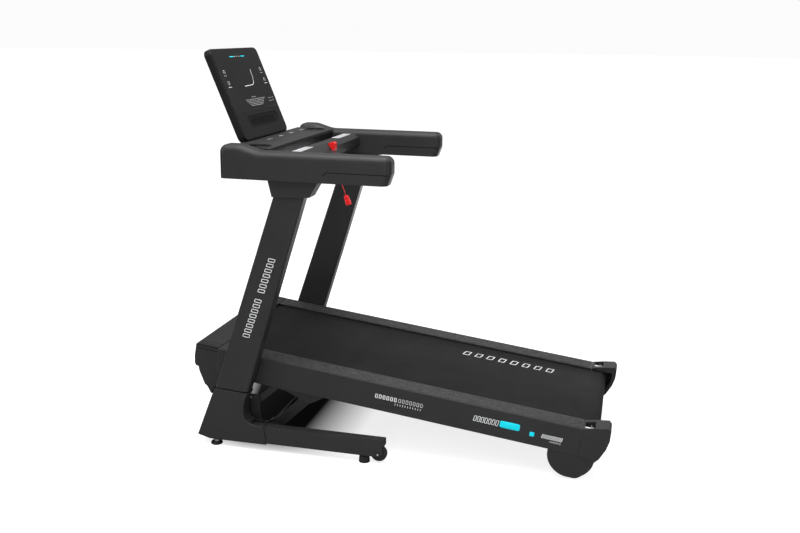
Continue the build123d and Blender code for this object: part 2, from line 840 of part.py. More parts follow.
with BuildPart() as strut_rod:
    rod_plane = Plane(
        origin=(strut_x, *on_deck(strut_top_s + 10, strut_n)), x_dir=(1, 0, 0), z_dir=up_deck
    )
    rod_length = strut_rest - cylinder_length + 90
    with BuildSketch(rod_plane):
        Circle(5)
    extrude(amount=rod_length)
    with BuildSketch(rod_plane.offset(rod_length)):
        Circle(9.5 - pin_clear)
    extrude(amount=16)
    extrude(ring(deck_side(strut_x - 6), (strut_top_s, strut_n), 13), amount=12)
save(strut_rod.part, "strut_rod")

# ================================ incline motor ================================================
lever_y = pivot_y + lever_s * cos(arm_angle) - lever_n * sin(arm_angle)
lever_z = pivot_z + lever_s * sin(arm_angle) + lever_n * cos(arm_angle)
motor_y, motor_z = on_deck(motor_pin_s, motor_pin_n)
screw_reach = hypot(lever_y - motor_y, lever_z - motor_z)
screw_angle = atan2(lever_z - motor_z, lever_y - motor_y)
screw_dir = (0, cos(screw_angle), sin(screw_angle))


def screw_side(x):
    """Side plane of the incline motor: it starts on its pin and runs to the lever."""
    return Plane(origin=(x, motor_y, motor_z), x_dir=screw_dir, z_dir=(1, 0, 0))


def screw_section(distance, x=0.0):
    """Plane square to the screw, this far from the motor's pin."""
    return Plane(
        origin=(x, motor_y + distance * screw_dir[1], motor_z + distance * screw_dir[2]),
        x_dir=(1, 0, 0),
        z_dir=screw_dir,
    )


gearbox_from = 14.0
gearbox_to = 36.0
screw_radius = 10.5
with BuildPart() as incline_motor:
    extrude(ring(screw_side(-21), (0, 0), 12), amount=42)
    with BuildSketch(screw_section(6)):
        Rectangle(42, 20)
    extrude(amount=gearbox_from - 6)
    with BuildSketch(screw_section(gearbox_from, 18)):
        RectangleRounded(78, 30, 5)
    extrude(amount=gearbox_to - gearbox_from)
    with BuildSketch(screw_section(gearbox_to, 36)):
        Circle(15)
    extrude(amount=62)
    with BuildSketch(screw_section(gearbox_to)):
        Circle(14)
    extrude(amount=56)
    with BuildSketch(screw_section(gearbox_to - 6)):
        Circle(screw_radius)
    extrude(amount=64, mode=Mode.SUBTRACT)
    extrude(ring(screw_side(-24), (0, 0), 5 + pin_clear), amount=48, mode=Mode.SUBTRACT)
save(incline_motor.part, "incline_motor")

with BuildPart() as incline_screw:
    with BuildSketch(screw_section(60)):
        Circle(screw_radius - pin_clear)
    extrude(amount=screw_reach - 60 - 6)
    extrude(ring(screw_side(-12), (screw_reach, 0), 10), amount=24)
save(incline_screw.part, "incline_screw")

# ================================ deck frame ===================================================
board_top = belt_top - belt_thick - belt_gap
board_low = board_top - board_thick
loop_top = belt_top - belt_thick
roller_n = loop_top - roller_radius
belt_low = roller_n - roller_radius - belt_thick
low_beam_gap = 3.2
low_beam_top = belt_low - low_beam_gap
with BuildPart() as deck_frame:
    for sign in (-1, 1):
        low, high = sorted((sign * frame_inner, sign * frame_outer))
        tube = block(deck_section(frame_front), (low, frame_low), (high, frame_high))
        extrude(tube, amount=frame_front - frame_rear)
        room = block(
            deck_section(frame_front - 40),
            (low + tube_wall, frame_low + tube_wall),
            (high - tube_wall, frame_high - tube_wall),
        )
        extrude(room, amount=frame_front - frame_rear, mode=Mode.SUBTRACT)
        ear_x = frame_outer - 10 if sign > 0 else -frame_outer
        extrude(ring(deck_side(ear_x), (fold_pin_s, fold_pin_n), 18), amount=10)
        extrude(
            ring(deck_side(ear_x - 5), (fold_pin_s, fold_pin_n), pin_radius + pin_clear),
            amount=20,
            mode=Mode.SUBTRACT,
        )
    for s in (180, 560, 940, 1290):
        beam = block(deck_side(-frame_inner), (s - 15, 143), (s + 15, frame_high))
        extrude(beam, amount=2 * frame_inner)
    beam_rear, beam_front = strut_top_s + 38, strut_top_s + 64
    low_beam = block(deck_side(-frame_inner), (beam_rear, low_beam_top - 16), (beam_front, low_beam_top))
    extrude(low_beam, amount=2 * frame_inner)
    lug = [
        (strut_top_s + 62, 124),
        (strut_top_s + 36, 124),
        (strut_top_s - 14, strut_n + 6),
        (strut_top_s - 10, strut_n - 12),
        (strut_top_s + 12, strut_n - 12),
        (strut_top_s + 62, 112),
    ]
    extrude(outline(deck_side(strut_x + 6 + side_gap), lug, 2), amount=6)
save(deck_frame.part, "deck_frame")

with BuildPart() as running_board:
    board = block(deck_side(-board_half), (4, board_low), (1318, board_top), 2)
    extrude(board, amount=2 * board_half)
save(running_board.part, "running_board")

cushion_count = 4
with BuildPart() as deck_cushions:
    for x in (-frame_inner - 12, frame_inner + 12):
        for i in range(cushion_count):
            s = 120 + i * 370
            middle = on_deck(s, frame_high)
            with BuildSketch(Plane(origin=(x, *middle), x_dir=(1, 0, 0), z_dir=out_of_deck)):
                Circle(11)
            extrude(amount=board_low - frame_high)
save(deck_cushions.part, "deck_cushions")

# The belt is one loop round both rollers.
with BuildPart() as running_belt:
    for loop_r, mode in (
        (roller_radius + belt_thick, Mode.ADD),
        (roller_radius + belt_slack, Mode.SUBTRACT),
    ):
        with BuildSketch(deck_side(-belt_half)):
            with BuildLine():
                Line((rear_roller_s, roller_n + loop_r), (front_roller_s, roller_n + loop_r))
                CenterArc((front_roller_s, roller_n), loop_r, 90, -180)
                Line((front_roller_s, roller_n - loop_r), (rear_roller_s, roller_n - loop_r))
                CenterArc((rear_roller_s, roller_n), loop_r, 270, -180)
            make_face()
        extrude(amount=2 * belt_half, mode=mode)
save(running_belt.part, "running_belt")

roller_half = belt_half + 8
pulley_radius = 28.0
for name, s in (("rear", rear_roller_s), ("front", front_roller_s)):
    with BuildPart() as roller:
        extrude(
            ring(deck_side(-roller_half), (s, roller_n), roller_radius, 6 + pin_clear),
            amount=2 * roller_half,
        )
        if name == "front":
            extrude(
                ring(deck_side(-roller_half - 14), (s, roller_n), pulley_radius, 6 + pin_clear),
                amount=14,
            )
    save(roller.part, f"{name}_roller")


# ================================ deck covers ==================================================
lip_x = belt_half + 5
with BuildPart() as foot_rails:
    rail_section = [
        (lip_x, rail_top - 6),
        (lip_x, rail_top),
        (deck_half, rail_top),
        (deck_half, skirt_bottom),
        (deck_half - skirt_wall, skirt_bottom),
        (deck_half - skirt_wall, rail_top - 4),
        (lip_x + 3, rail_top - 4),
        (lip_x + 3, rail_top - 6),
    ]
    extrude(outline(deck_section(hood_rear), rail_section), amount=hood_rear - rail_rear)
    crest = foot_rails.edges().filter_by(lambda e: e.length > 1000).sort_by(Axis.X)[-2:]
    fillet(crest.sort_by(Axis.Z)[-1], 3)
    mirror(about=Plane.YZ)
save(foot_rails.part, "foot_rails")

cap_outline = [
    (rail_rear - 0.4, rail_top),
    (-52.0, 209.0),
    (-90.0, 216.0),
    (-100.0, 206.0),
    (-101.0, 172.0),
    (-94.0, 139.0),
    (-77.0, 100.0),
    (-64.0, 84.0),
    (rail_rear - 0.4, skirt_bottom),
]
with BuildPart() as rear_end_caps:
    extrude(outline(deck_side(belt_half + 12), cap_outline), amount=deck_half - belt_half - 12)
    inside = [(-8, 190), (-85, 190), (-85, 150), (-66, 106), (-8, 106)]
    extrude(
        outline(deck_side(belt_half + 11), inside),
        amount=deck_half - belt_half - 15,
        mode=Mode.SUBTRACT,
    )
    extrude(
        ring(deck_side(belt_half + 11), (rear_roller_s, roller_n), 6), amount=6, mode=Mode.SUBTRACT
    )
    window = block(deck_side(deck_half - 62), (-46, 188), (-12, 225))
    extrude(window, amount=56, mode=Mode.SUBTRACT)
    mirror(about=Plane.YZ)
save(rear_end_caps.part, "rear_end_caps")

# Half-moon guards below the rear end, each with a wheel in its slot.
guard_front = (98.0, 96.4)
guard_low = (17.0, 8.0)
guard_rear = (-63.5, 83.2)
deck_wheel_radius = 38.0
deck_wheel_s = 0.0
deck_wheel_n = deck_wheel_radius / cos(tilt)
wheel_slot_low = frame_outer - 1.0
guard_inner = wheel_slot_low - 11.0
wheel_slot_high = wheel_slot_low + 24.0
axle_end = deck_half - skirt_wall - 3.0
with BuildPart() as wheel_guards:
    with BuildSketch(deck_side(guard_inner)):
        with BuildLine():
            Polyline(guard_front, (-4.0, 96.4), guard_rear)
            ThreePointArc(guard_rear, guard_low, guard_front)
        make_face()
    extrude(amount=deck_half - 3 - guard_inner)
    slot = block(deck_side(wheel_slot_low), (-60, -10), (96, 82))
    extrude(slot, amount=wheel_slot_high - wheel_slot_low, mode=Mode.SUBTRACT)
    extrude(
        ring(deck_side(guard_inner - 1), (deck_wheel_s, deck_wheel_n), 5),
        amount=axle_end - guard_inner + 1,
        mode=Mode.SUBTRACT,
    )
    mirror(about=Plane.YZ)
save(wheel_guards.part, "wheel_guards")

for name, low in (("left", -wheel_slot_high + 2), ("right", wheel_slot_low + 2)):
    with BuildPart() as wheel:
        face = ring(
            deck_side(low), (deck_wheel_s, deck_wheel_n), deck_wheel_radius, 5 + pin_clear
        )
        extrude(face, amount=wheel_slot_high - wheel_slot_low - 4)
        rim = wheel.edges().filter_by(GeomType.CIRCLE).group_by(SortBy.RADIUS)[-1]
        fillet(rim, 4)
    save(wheel.part, f"deck_wheel_{name}")

with BuildPart() as deck_axles:
    for s in (rear_roller_s, front_roller_s):
        extrude(ring(deck_side(0), (s, roller_n), 6), amount=frame_inner)
    extrude(
        ring(deck_side(guard_inner - 2), (deck_wheel_s, deck_wheel_n), 5),
        amount=axle_end - guard_inner + 2,
    )
    extrude(ring(deck_side(guard_inner - 6), (deck_wheel_s, deck_wheel_n), 8), amount=4)
    mirror(about=Plane.YZ)
save(deck_axles.part, "deck_axles")

# ================================ motor bay ====================================================
hood_half = deck_half - 6.0
inlet_x = -240.0
inlet_width = 34.0
inlet_n = 128.0
inlet_tall = 24.0
switch_x = -195.0
switch_width = 18.0
hood_outline = [
    (hood_rear + 0.5, 199.0),
    (1418.0, 199.0),
    (1429.0, 194.0),
    (hood_front, 149.0),
    (1429.0, 120.0),
    (1423.0, 108.0),
    (hood_rear + 0.5, 108.0),
]
hood_room = [
    (1330.0, 195.5),
    (1416.0, 195.5),
    (1425.0, 190.0),
    (hood_front - 3.5, 149.0),
    (1425.0, 121.0),
    (1421.0, 100.0),
    (1330.0, 100.0),
]
with BuildPart() as hood:
    extrude(outline(deck_side(-hood_half), hood_outline), amount=2 * hood_half)
    extrude(
        outline(deck_side(-hood_half + 3), hood_room), amount=2 * hood_half - 6, mode=Mode.SUBTRACT
    )
    for x, wide in ((inlet_x, inlet_width), (switch_x, switch_width)):
        window = block(
            deck_side(x - 1), (hood_front - 16, inlet_n - 1), (hood_front + 5, inlet_n + inlet_tall + 1)
        )
        extrude(window, amount=wide + 2, mode=Mode.SUBTRACT)
save(hood.part, "hood")

pan_half = 300.0
pan_wall = 3.0
pan_front = [(1413.0, 107.0), (1407.0, 89.0), (1382.0, 43.0), (1372.0, 37.0), (1354.0, 12.0)]
tub_outline = [*pan_front[:-1], (1357.0, 20.0), (1290.0, 20.0), (1262.0, 40.0), (1262.0, 107.0)]
with BuildPart() as belly_pan:
    cheek = [
        *pan_front,
        (1349.0, 12.0),
        (1368.0, 42.0),
        (1378.0, 48.0),
        (1402.0, 92.0),
        (1409.0, 107.0),
    ]
    extrude(outline(deck_side(-hood_half), cheek), amount=2 * hood_half)
    side_plate = [*pan_front, (1345.0, 35.0), (1318.0, 75.0), (1318.0, 107.0)]
    for x in (-hood_half, hood_half - pan_wall):
        extrude(outline(deck_side(x), side_plate), amount=pan_wall)
    extrude(outline(deck_side(-pan_half), tub_outline), amount=2 * pan_half)
    room = [
        (1408.0, 110.0),
        (1402.0, 90.0),
        (1378.0, 47.0),
        (1354.0, 23.0),
        (1292.0, 23.0),
        (1265.0, 42.0),
        (1265.0, 110.0),
    ]
    extrude(
        outline(deck_side(-pan_half + pan_wall), room),
        amount=2 * (pan_half - pan_wall),
        mode=Mode.SUBTRACT,
    )
save(belly_pan.part, "belly_pan")

motor_s = 1318.0
motor_n = 70.0
motor_radius = 40.0
with BuildPart() as drive_motor:
    extrude(ring(deck_side(-150), (motor_s, motor_n), motor_radius, 9), amount=190)
    for x in (-150, 30):
        extrude(ring(deck_side(x), (motor_s, motor_n), 30, 6 + pin_clear), amount=10)
save(drive_motor.part, "drive_motor")

pulley_x = -roller_half - 14
small_pulley = 16.0
with BuildPart() as motor_shaft:
    extrude(ring(deck_side(pulley_x), (motor_s, motor_n), 6), amount=45 - pulley_x)
    extrude(ring(deck_side(pulley_x), (motor_s, motor_n), small_pulley), amount=14)
    extrude(ring(deck_side(-240), (motor_s, motor_n), 36), amount=26)
    extrude(ring(deck_side(-130), (motor_s, motor_n), 8.6), amount=150)
save(motor_shaft.part, "motor_shaft")

# The drive belt is the tangent loop round the motor pulley and the roller's pulley.
span = hypot(front_roller_s - motor_s, roller_n - motor_n)
axis_angle = degrees(atan2(roller_n - motor_n, front_roller_s - motor_s))


def belt_loop(small, large, plane):
    """The open loop round two pulleys: two arcs and the two lines that touch both."""
    with BuildSketch(plane) as face:
        with BuildLine():
            lap = degrees(atan2(large - small, (span**2 - (large - small) ** 2) ** 0.5))
            first = CenterArc((front_roller_s, roller_n), large, axis_angle - 90 - lap, 180 + 2 * lap)
            second = CenterArc((motor_s, motor_n), small, axis_angle + 90 + lap, 180 - 2 * lap)
            Line(first @ 1, second @ 0)
            Line(second @ 1, first @ 0)
        make_face()
    return face.sketch


with BuildPart() as drive_belt:
    extrude(belt_loop(small_pulley + 2.4, pulley_radius + 2.3, deck_side(pulley_x + 1)), amount=12)
    extrude(
        belt_loop(small_pulley + 0.2, pulley_radius + 0.2, deck_side(pulley_x + 1)),
        amount=12,
        mode=Mode.SUBTRACT,
    )
save(drive_belt.part, "drive_belt")

with BuildPart() as motor_controller:
    extrude(block(deck_side(80), (1297, 30), (1350, 62), 2), amount=170)
    for x in range(88, 248, 16):
        extrude(block(deck_side(x), (1300, 62), (1347, 74)), amount=4)
save(motor_controller.part, "motor_controller")

# ================================ power inlet and switch =======================================
with BuildPart() as power_inlet:
    body = block(
        deck_side(inlet_x), (hood_front - 20, inlet_n), (hood_front - 2.5, inlet_n + inlet_tall), 1
    )
    extrude(body, amount=inlet_width)
    mouth = block(
        deck_side(inlet_x + 4),
        (hood_front - 16, inlet_n + 4),
        (hood_front, inlet_n + inlet_tall - 4),
    )
    extrude(mouth, amount=inlet_width - 8, mode=Mode.SUBTRACT)
save(power_inlet.part, "power_inlet")

rocker_s = hood_front - 12
rocker_n = inlet_n + inlet_tall / 2
with BuildPart() as power_switch:
    rocker = [
        (rocker_s - 6, rocker_n - 9),
        (rocker_s + 7, rocker_n - 10),
        (rocker_s + 6, rocker_n),
        (rocker_s + 9, rocker_n + 10),
        (rocker_s - 6, rocker_n + 9),
    ]
    extrude(outline(deck_side(switch_x), rocker, 1), amount=switch_width)
    trunnion = ring(deck_side(switch_x - 0.7), (rocker_s, rocker_n), 2.5)
    extrude(trunnion, amount=switch_width + 1.4)
save(power_switch.part, "power_switch")

# ================================ fasteners ====================================================
with BuildPart() as base_bolts:
    pin_start = link_inner - 1
    extrude(
        ring(side(pin_start), (link_y, link_z), 7),
        amount=bracket_inner + bracket_thick + 1 - pin_start,
    )
    bracket_bolt = ring(side(bracket_inner + bracket_thick), (bracket_bolt_y, bracket_bolt_z), 6)
    extrude(bracket_bolt, amount=2.5)
    extrude(ring(side(rail_inner - 4), (wheel_y, wheel_z), 5), amount=rail_width + 6)
    extrude(ring(side(rail_outer), (wheel_y, wheel_z), 8), amount=3)
    for y, z in ((575.0, 150.0), (620.0, 150.0)):
        extrude(ring(side(boot_inner + 12), (y, z), 6), amount=31)
    mirror(about=Plane.YZ)
save(base_bolts.part, "base_bolts")
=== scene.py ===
import json
from math import cos, pi, radians, sin

import bmesh
import bpy
import numpy as np
from mathutils import Matrix, Vector


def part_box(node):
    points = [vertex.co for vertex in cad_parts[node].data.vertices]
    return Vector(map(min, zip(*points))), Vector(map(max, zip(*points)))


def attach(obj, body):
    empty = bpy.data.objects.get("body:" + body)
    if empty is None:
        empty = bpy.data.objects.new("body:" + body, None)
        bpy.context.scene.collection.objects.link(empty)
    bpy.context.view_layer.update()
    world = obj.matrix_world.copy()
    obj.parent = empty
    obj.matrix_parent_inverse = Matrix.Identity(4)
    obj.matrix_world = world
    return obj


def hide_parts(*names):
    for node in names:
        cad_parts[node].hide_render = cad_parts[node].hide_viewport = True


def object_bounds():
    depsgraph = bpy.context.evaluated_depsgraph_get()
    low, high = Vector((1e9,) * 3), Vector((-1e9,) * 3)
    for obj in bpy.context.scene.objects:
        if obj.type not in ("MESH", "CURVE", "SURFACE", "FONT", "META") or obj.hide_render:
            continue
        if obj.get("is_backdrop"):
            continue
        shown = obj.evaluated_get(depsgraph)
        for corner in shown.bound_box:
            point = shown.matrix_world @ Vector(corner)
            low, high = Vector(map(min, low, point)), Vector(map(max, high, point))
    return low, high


# A folding treadmill. Metres, with +Y towards the console, +X to the runner's right and +Z up.
# Places on the deck are given as s, up along the belt, and n, square out of it; both are counted
# from the point below the rear wheels. Places on the console are given as x and v, up its face.

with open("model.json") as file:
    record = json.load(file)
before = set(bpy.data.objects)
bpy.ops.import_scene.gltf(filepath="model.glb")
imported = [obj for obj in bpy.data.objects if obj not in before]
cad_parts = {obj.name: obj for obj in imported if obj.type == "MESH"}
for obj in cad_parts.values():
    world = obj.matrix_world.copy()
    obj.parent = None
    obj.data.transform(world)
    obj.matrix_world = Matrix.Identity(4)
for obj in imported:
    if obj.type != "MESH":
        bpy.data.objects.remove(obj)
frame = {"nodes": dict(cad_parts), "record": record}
cad_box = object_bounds()
joints = {joint["name"]: joint for joint in frame["record"]["behaviour"]["joints"]}


def joint_at(name):
    """Where a joint's axis stands, as an array."""
    return np.array(joints[name]["pos_m"], dtype=float)


# ---- sizes ------------------------------------------------------------------------------------
rear_axis = joint_at("rear_roller_spin")
front_axis = joint_at("front_roller_spin")
up_deck = (front_axis - rear_axis) / np.linalg.norm(front_axis - rear_axis)
out_of_deck = np.array([0.0, -up_deck[2], up_deck[1]])
incline = float(np.arctan2(up_deck[2], up_deck[1]))
rear_roller_s = -0.038
front_roller_s = 1.352
roller_n = 0.1636
deck_foot = rear_axis - rear_roller_s * up_deck - roller_n * out_of_deck

belt_half = 0.260
belt_thick = 0.0024
belt_top = 0.190
roller_radius = 0.024
deck_half = 0.351
rail_top = 0.197
hood_half = 0.345
upright_outer = 0.412
handrail_outer = 0.433
handrail_inner = 0.357
tension_bolt_x = 0.320
tension_bolt_n = 0.190
console_foot = np.array([0.0, 0.588, 1.104])
console_lean = radians(22.6)
print_height = 0.00035


def on_deck(x, s, n):
    """A point of the deck, from its place across, along and out of the belt; arrays are allowed."""
    x, s, n = np.broadcast_arrays(x, s, n)
    across = x[..., None] * np.array([1.0, 0.0, 0.0])
    return deck_foot + across + s[..., None] * up_deck + n[..., None] * out_of_deck


# ---- camera -----------------------------------------------------------------------------------
def look_from(place, forward, right, up):
    """A camera pose: its place, and the three directions that it sees along, across and up."""
    turned = Matrix((right, up, [-f for f in forward])).transposed()
    return Matrix.Translation(place) @ turned.to_4x4()


view_camera = bpy.data.cameras.new("view")
view_camera.sensor_width = 36.0
view_camera.lens = 42.8
view_camera.clip_end = 60.0
camera = bpy.data.objects.new("camera", view_camera)
bpy.context.collection.objects.link(camera)
camera.matrix_world = look_from(
    (-3.4172, -0.7798, 1.5101),
    (0.94154, 0.23286, -0.24347),
    (0.24315, -0.96991, 0.01266),
    (0.23319, 0.07112, 0.96983),
)
bpy.context.scene.camera = camera


# ================================ shader groups =================================================
def new_group(name, inputs, outputs):
    """An empty shader group; inputs and outputs are (name, socket kind, default) and (name, kind)."""
    tree = bpy.data.node_groups.new(name, "ShaderNodeTree")
    for label, kind, value in inputs:
        socket = tree.interface.new_socket(label, in_out="INPUT", socket_type=f"NodeSocket{kind}")
        socket.default_value = value
    for label, kind in outputs:
        tree.interface.new_socket(label, in_out="OUTPUT", socket_type=f"NodeSocket{kind}")
    return tree, tree.nodes.new("NodeGroupInput"), tree.nodes.new("NodeGroupOutput")


def add(tree, kind, values=None, **settings):
    """A node with its settings made and its sockets filled; a socket in values is linked."""
    made = tree.nodes.new(kind)
    for key, value in settings.items():
        setattr(made, key, value)
    for key, value in (values or {}).items():
        if isinstance(value, bpy.types.NodeSocket):
            tree.links.new(value, made.inputs[key])
        else:
            made.inputs[key].default_value = value
    return made


def calculate(tree, operation, first, second=0.0, third=0.0):
    """A math node on up to three numbers or sockets."""
    return add(tree, "ShaderNodeMath", {0: first, 1: second, 2: third}, operation=operation).outputs[0]


def spread(tree, value, low, high, to_low=0.0, to_high=1.0):
    """A value stretched from one range onto another, and held inside it."""
    values = {"Value": value, "From Min": low, "From Max": high, "To Min": to_low, "To Max": to_high}
    return add(tree, "ShaderNodeMapRange", values).outputs[0]


def blend_colours(tree, amount, first, second):
    """The first colour, going over to the second with amount."""
    values = {"Factor": amount, 6: first, 7: second}
    return add(tree, "ShaderNodeMix", values, data_type="RGBA").outputs[2]


def soft_edge_group():
    """Rounds what light sees of sharp edges, and finds them.

    The normal is the mean over a small ball. The wear-and-highlight mask is one less the cosine
    between that normal and the face's own, stretched to 0 to 1 and broken up by noise; it is used
    to lighten edges in colour, as edge wear and as a painted edge highlight.
    """
    tree, given, out = new_group(
        "soft_edge", [("Radius", "Float", 0.001)], [("Normal", "Vector"), ("Wear_and_highlight", "Float")]
    )
    rounded = add(tree, "ShaderNodeBevel", {"Radius": given.outputs["Radius"]}, samples=4)
    plain = add(tree, "ShaderNodeNewGeometry")
    facing = add(tree, "ShaderNodeVectorMath", operation="DOT_PRODUCT")
    tree.links.new(rounded.outputs[0], facing.inputs[0])
    tree.links.new(plain.outputs["Normal"], facing.inputs[1])
    place = add(tree, "ShaderNodeTexCoord")
    patches = add(tree, "ShaderNodeTexNoise", {"Vector": place.outputs["Object"], "Scale": 60.0})
    bent = spread(tree, facing.outputs["Value"], 0.995, 0.80)
    worn_and_highlighted = calculate(tree, "MULTIPLY", bent, spread(tree, patches.outputs[0], 0.35, 0.65))
    tree.links.new(rounded.outputs[0], out.inputs["Normal"])
    tree.links.new(worn_and_highlighted, out.inputs["Wear_and_highlight"])
    return tree


def grain_group():
    """Fine surface texture: noise on the object's place, turned about X and scaled per axis.

    Height adds small cells to finer noise. Tint is a slow cloudy noise for colour and gloss.
    """
    inputs = [("Turn", "Vector", (0, 0, 0)), ("Scale", "Vector", (900, 900, 900)), ("Cells", "Float", 0.5)]
    tree, given, out = new_group("grain", inputs, [("Height", "Float"), ("Tint", "Float")])
    place = add(tree, "ShaderNodeTexCoord")
    turned = add(
        tree,
        "ShaderNodeMapping",
        {
            "Vector": place.outputs["Object"],
            "Rotation": given.outputs["Turn"],
            "Scale": given.outputs["Scale"],
        },
    )
    fine = add(tree, "ShaderNodeTexNoise", {"Vector": turned.outputs[0], "Scale": 1.0, "Detail": 3.0})
    cells = add(tree, "ShaderNodeTexVoronoi", {"Vector": turned.outputs[0], "Scale": 0.8})
    cloud = add(tree, "ShaderNodeTexNoise", {"Vector": place.outputs["Object"], "Scale": 7.0, "Detail": 4.0})
    pitted = calculate(tree, "MULTIPLY", cells.outputs["Distance"], given.outputs["Cells"])
    tree.links.new(calculate(tree, "ADD", fine.outputs[0], pitted), out.inputs["Height"])
    tree.links.new(spread(tree, cloud.outputs[0], 0.3, 0.7), out.inputs["Tint"])
    return tree


def dust_group():
    """Fine dust: more of it where the surface faces up, broken up by two sizes of noise."""
    tree, given, out = new_group("dust", [("Amount", "Float", 0.2)], [("Mask", "Float")])
    place = add(tree, "ShaderNodeTexCoord")
    plain = add(tree, "ShaderNodeNewGeometry")
    split = add(tree, "ShaderNodeSeparateXYZ", {0: plain.outputs["Normal"]})
    here = place.outputs["Object"]
    clouds = add(tree, "ShaderNodeTexNoise", {"Vector": here, "Scale": 11.0, "Detail": 6.0})
    specks = add(tree, "ShaderNodeTexNoise", {"Vector": here, "Scale": 700.0})
    lying = spread(tree, split.outputs["Z"], 0.1, 1.0, 0.15, 1.0)
    patchy = spread(tree, clouds.outputs[0], 0.42, 0.75)
    speckled = spread(tree, specks.outputs[0], 0.4, 0.7, 0.4, 1.0)
    settled = calculate(tree, "MULTIPLY", calculate(tree, "MULTIPLY", lying, patchy), speckled)
    tree.links.new(calculate(tree, "MULTIPLY", settled, given.outputs["Amount"]), out.inputs["Mask"])
    return tree


def lattice_group():
    """Raised diamonds: the product of two waves that cross at an angle, on the object's place
    turned about X. Across and Along are the waves' numbers per metre."""
    inputs = [("Turn", "Vector", (0, 0, 0)), ("Across", "Float", 400.0), ("Along", "Float", 250.0)]
    tree, given, out = new_group("lattice", inputs, [("Height", "Float")])
    place = add(tree, "ShaderNodeTexCoord")
    turned = add(
        tree,
        "ShaderNodeMapping",
        {"Vector": place.outputs["Object"], "Rotation": given.outputs["Turn"]},
    )
    split = add(tree, "ShaderNodeSeparateXYZ", {0: turned.outputs[0]})
    across = calculate(tree, "MULTIPLY", split.outputs["X"], given.outputs["Across"])
    along = calculate(tree, "MULTIPLY", split.outputs["Y"], given.outputs["Along"])
    one = calculate(tree, "SINE", calculate(tree, "ADD", across, along))
    other = calculate(tree, "SINE", calculate(tree, "SUBTRACT", across, along))
    tree.links.new(calculate(tree, "MULTIPLY", one, other), out.inputs["Height"])
    return tree


soft_edge = soft_edge_group()
grain = grain_group()
dust = dust_group()
lattice = lattice_group()


# ================================ materials =====================================================
cloudiness = 0.07


def grey(value):
    """A neutral colour."""
    return (value, value, value * 1.03, 1.0)


def surface_finish(
    name,
    colour,
    roughness,
    scale=(900, 900, 900),
    relief=0.0002,
    strength=0.25,
    worn_and_highlighted=None,
    wear_and_highlight=0.6,
    dusty=0.02,
    edge=0.0014,
    metallic=0.0,
    coat=0.0,
    turn=0.0,
    sheen=0.0,
    gloss=0.28,
):
    """A finish with grain, soft edges, edge wear with a painted edge highlight, and dust; returns the
    material and its bump node.
    """
    material = bpy.data.materials.new(name)
    material.use_nodes = True
    tree = material.node_tree
    shader = tree.nodes["Principled BSDF"]
    shader.inputs["Metallic"].default_value = metallic
    shader.inputs["Coat Weight"].default_value = coat
    shader.inputs["Coat Roughness"].default_value = 0.12
    shader.inputs["Sheen Weight"].default_value = sheen
    shader.inputs["Specular IOR Level"].default_value = gloss
    edges = add(tree, "ShaderNodeGroup", node_tree=soft_edge)
    edges.inputs["Radius"].default_value = edge
    texture = add(tree, "ShaderNodeGroup", node_tree=grain)
    texture.inputs["Turn"].default_value = (turn, 0, 0)
    texture.inputs["Scale"].default_value = scale
    settled = add(tree, "ShaderNodeGroup", node_tree=dust)
    settled.inputs["Amount"].default_value = dusty
    darker = tuple(c * (1 - cloudiness) for c in colour[:3]) + (1.0,)
    lighter = tuple(min(1.0, c * (1 + cloudiness)) for c in colour[:3]) + (1.0,)
    clouded = blend_colours(tree, texture.outputs["Tint"], darker, lighter)
    # Edges are lightened towards this colour: partly edge wear, partly a painted edge highlight.
    rubbed_and_highlighted = worn_and_highlighted or tuple(min(1.0, c * 2.6 + 0.03) for c in colour[:3]) + (1.0,)
    wear_and_highlight_mask = calculate(tree, "MULTIPLY", edges.outputs["Wear_and_highlight"], wear_and_highlight)
    handled_and_highlighted = blend_colours(tree, wear_and_highlight_mask, clouded, rubbed_and_highlighted)
    dusted = blend_colours(tree, settled.outputs["Mask"], handled_and_highlighted, (0.30, 0.29, 0.28, 1.0))
    tree.links.new(dusted, shader.inputs["Base Color"])
    varied = spread(tree, texture.outputs["Tint"], 0.0, 1.0, roughness - 0.05, roughness + 0.05)
    tree.links.new(
        calculate(tree, "ADD", varied, calculate(tree, "MULTIPLY", settled.outputs["Mask"], 0.5)),
        shader.inputs["Roughness"],
    )
    bump = add(
        tree,
        "ShaderNodeBump",
        {
            "Strength": strength,
            "Distance": relief,
            "Height": texture.outputs["Height"],
            "Normal": edges.outputs["Normal"],
        },
    )
    tree.links.new(bump.outputs[0], shader.inputs["Normal"])
    return material, bump


def lit_finish(name, colour, glow):
    """An ink or lamp colour with a little cloudiness and its own light; on an ink that light is a painted
    glow.
    """
    material, _ = surface_finish(name, colour, 0.45, dusty=0.03, wear_and_highlight=0.1, edge=0.0002)
    shader = material.node_tree.nodes["Principled BSDF"]
    shader.inputs["Emission Color"].default_value = colour
    shader.inputs["Emission Strength"].default_value = glow
    return material


def belt_finish():
    """Running-belt rubber: a fine raised lattice over grain, dulled by dust."""
    material, bump = surface_finish(
        "belt_rubber",
        grey(0.0085),
        0.70,
        relief=0.0003,
        strength=0.5,
        dusty=0.02,
        turn=-incline,
        gloss=0.12,
    )
    tree = material.node_tree
    diamonds = add(tree, "ShaderNodeGroup", node_tree=lattice)
    diamonds.inputs["Turn"].default_value = (-incline, 0, 0)
    diamonds.inputs["Across"].default_value = 1250.0
    diamonds.inputs["Along"].default_value = 820.0
    raised = add(
        tree,
        "ShaderNodeBump",
        {
            "Strength": 0.45,
            "Distance": 0.0004,
            "Height": diamonds.outputs[0],
            "Normal": bump.outputs[0],
        },
    )
    tree.links.new(raised.outputs[0], tree.nodes["Principled BSDF"].inputs["Normal"])
    return material


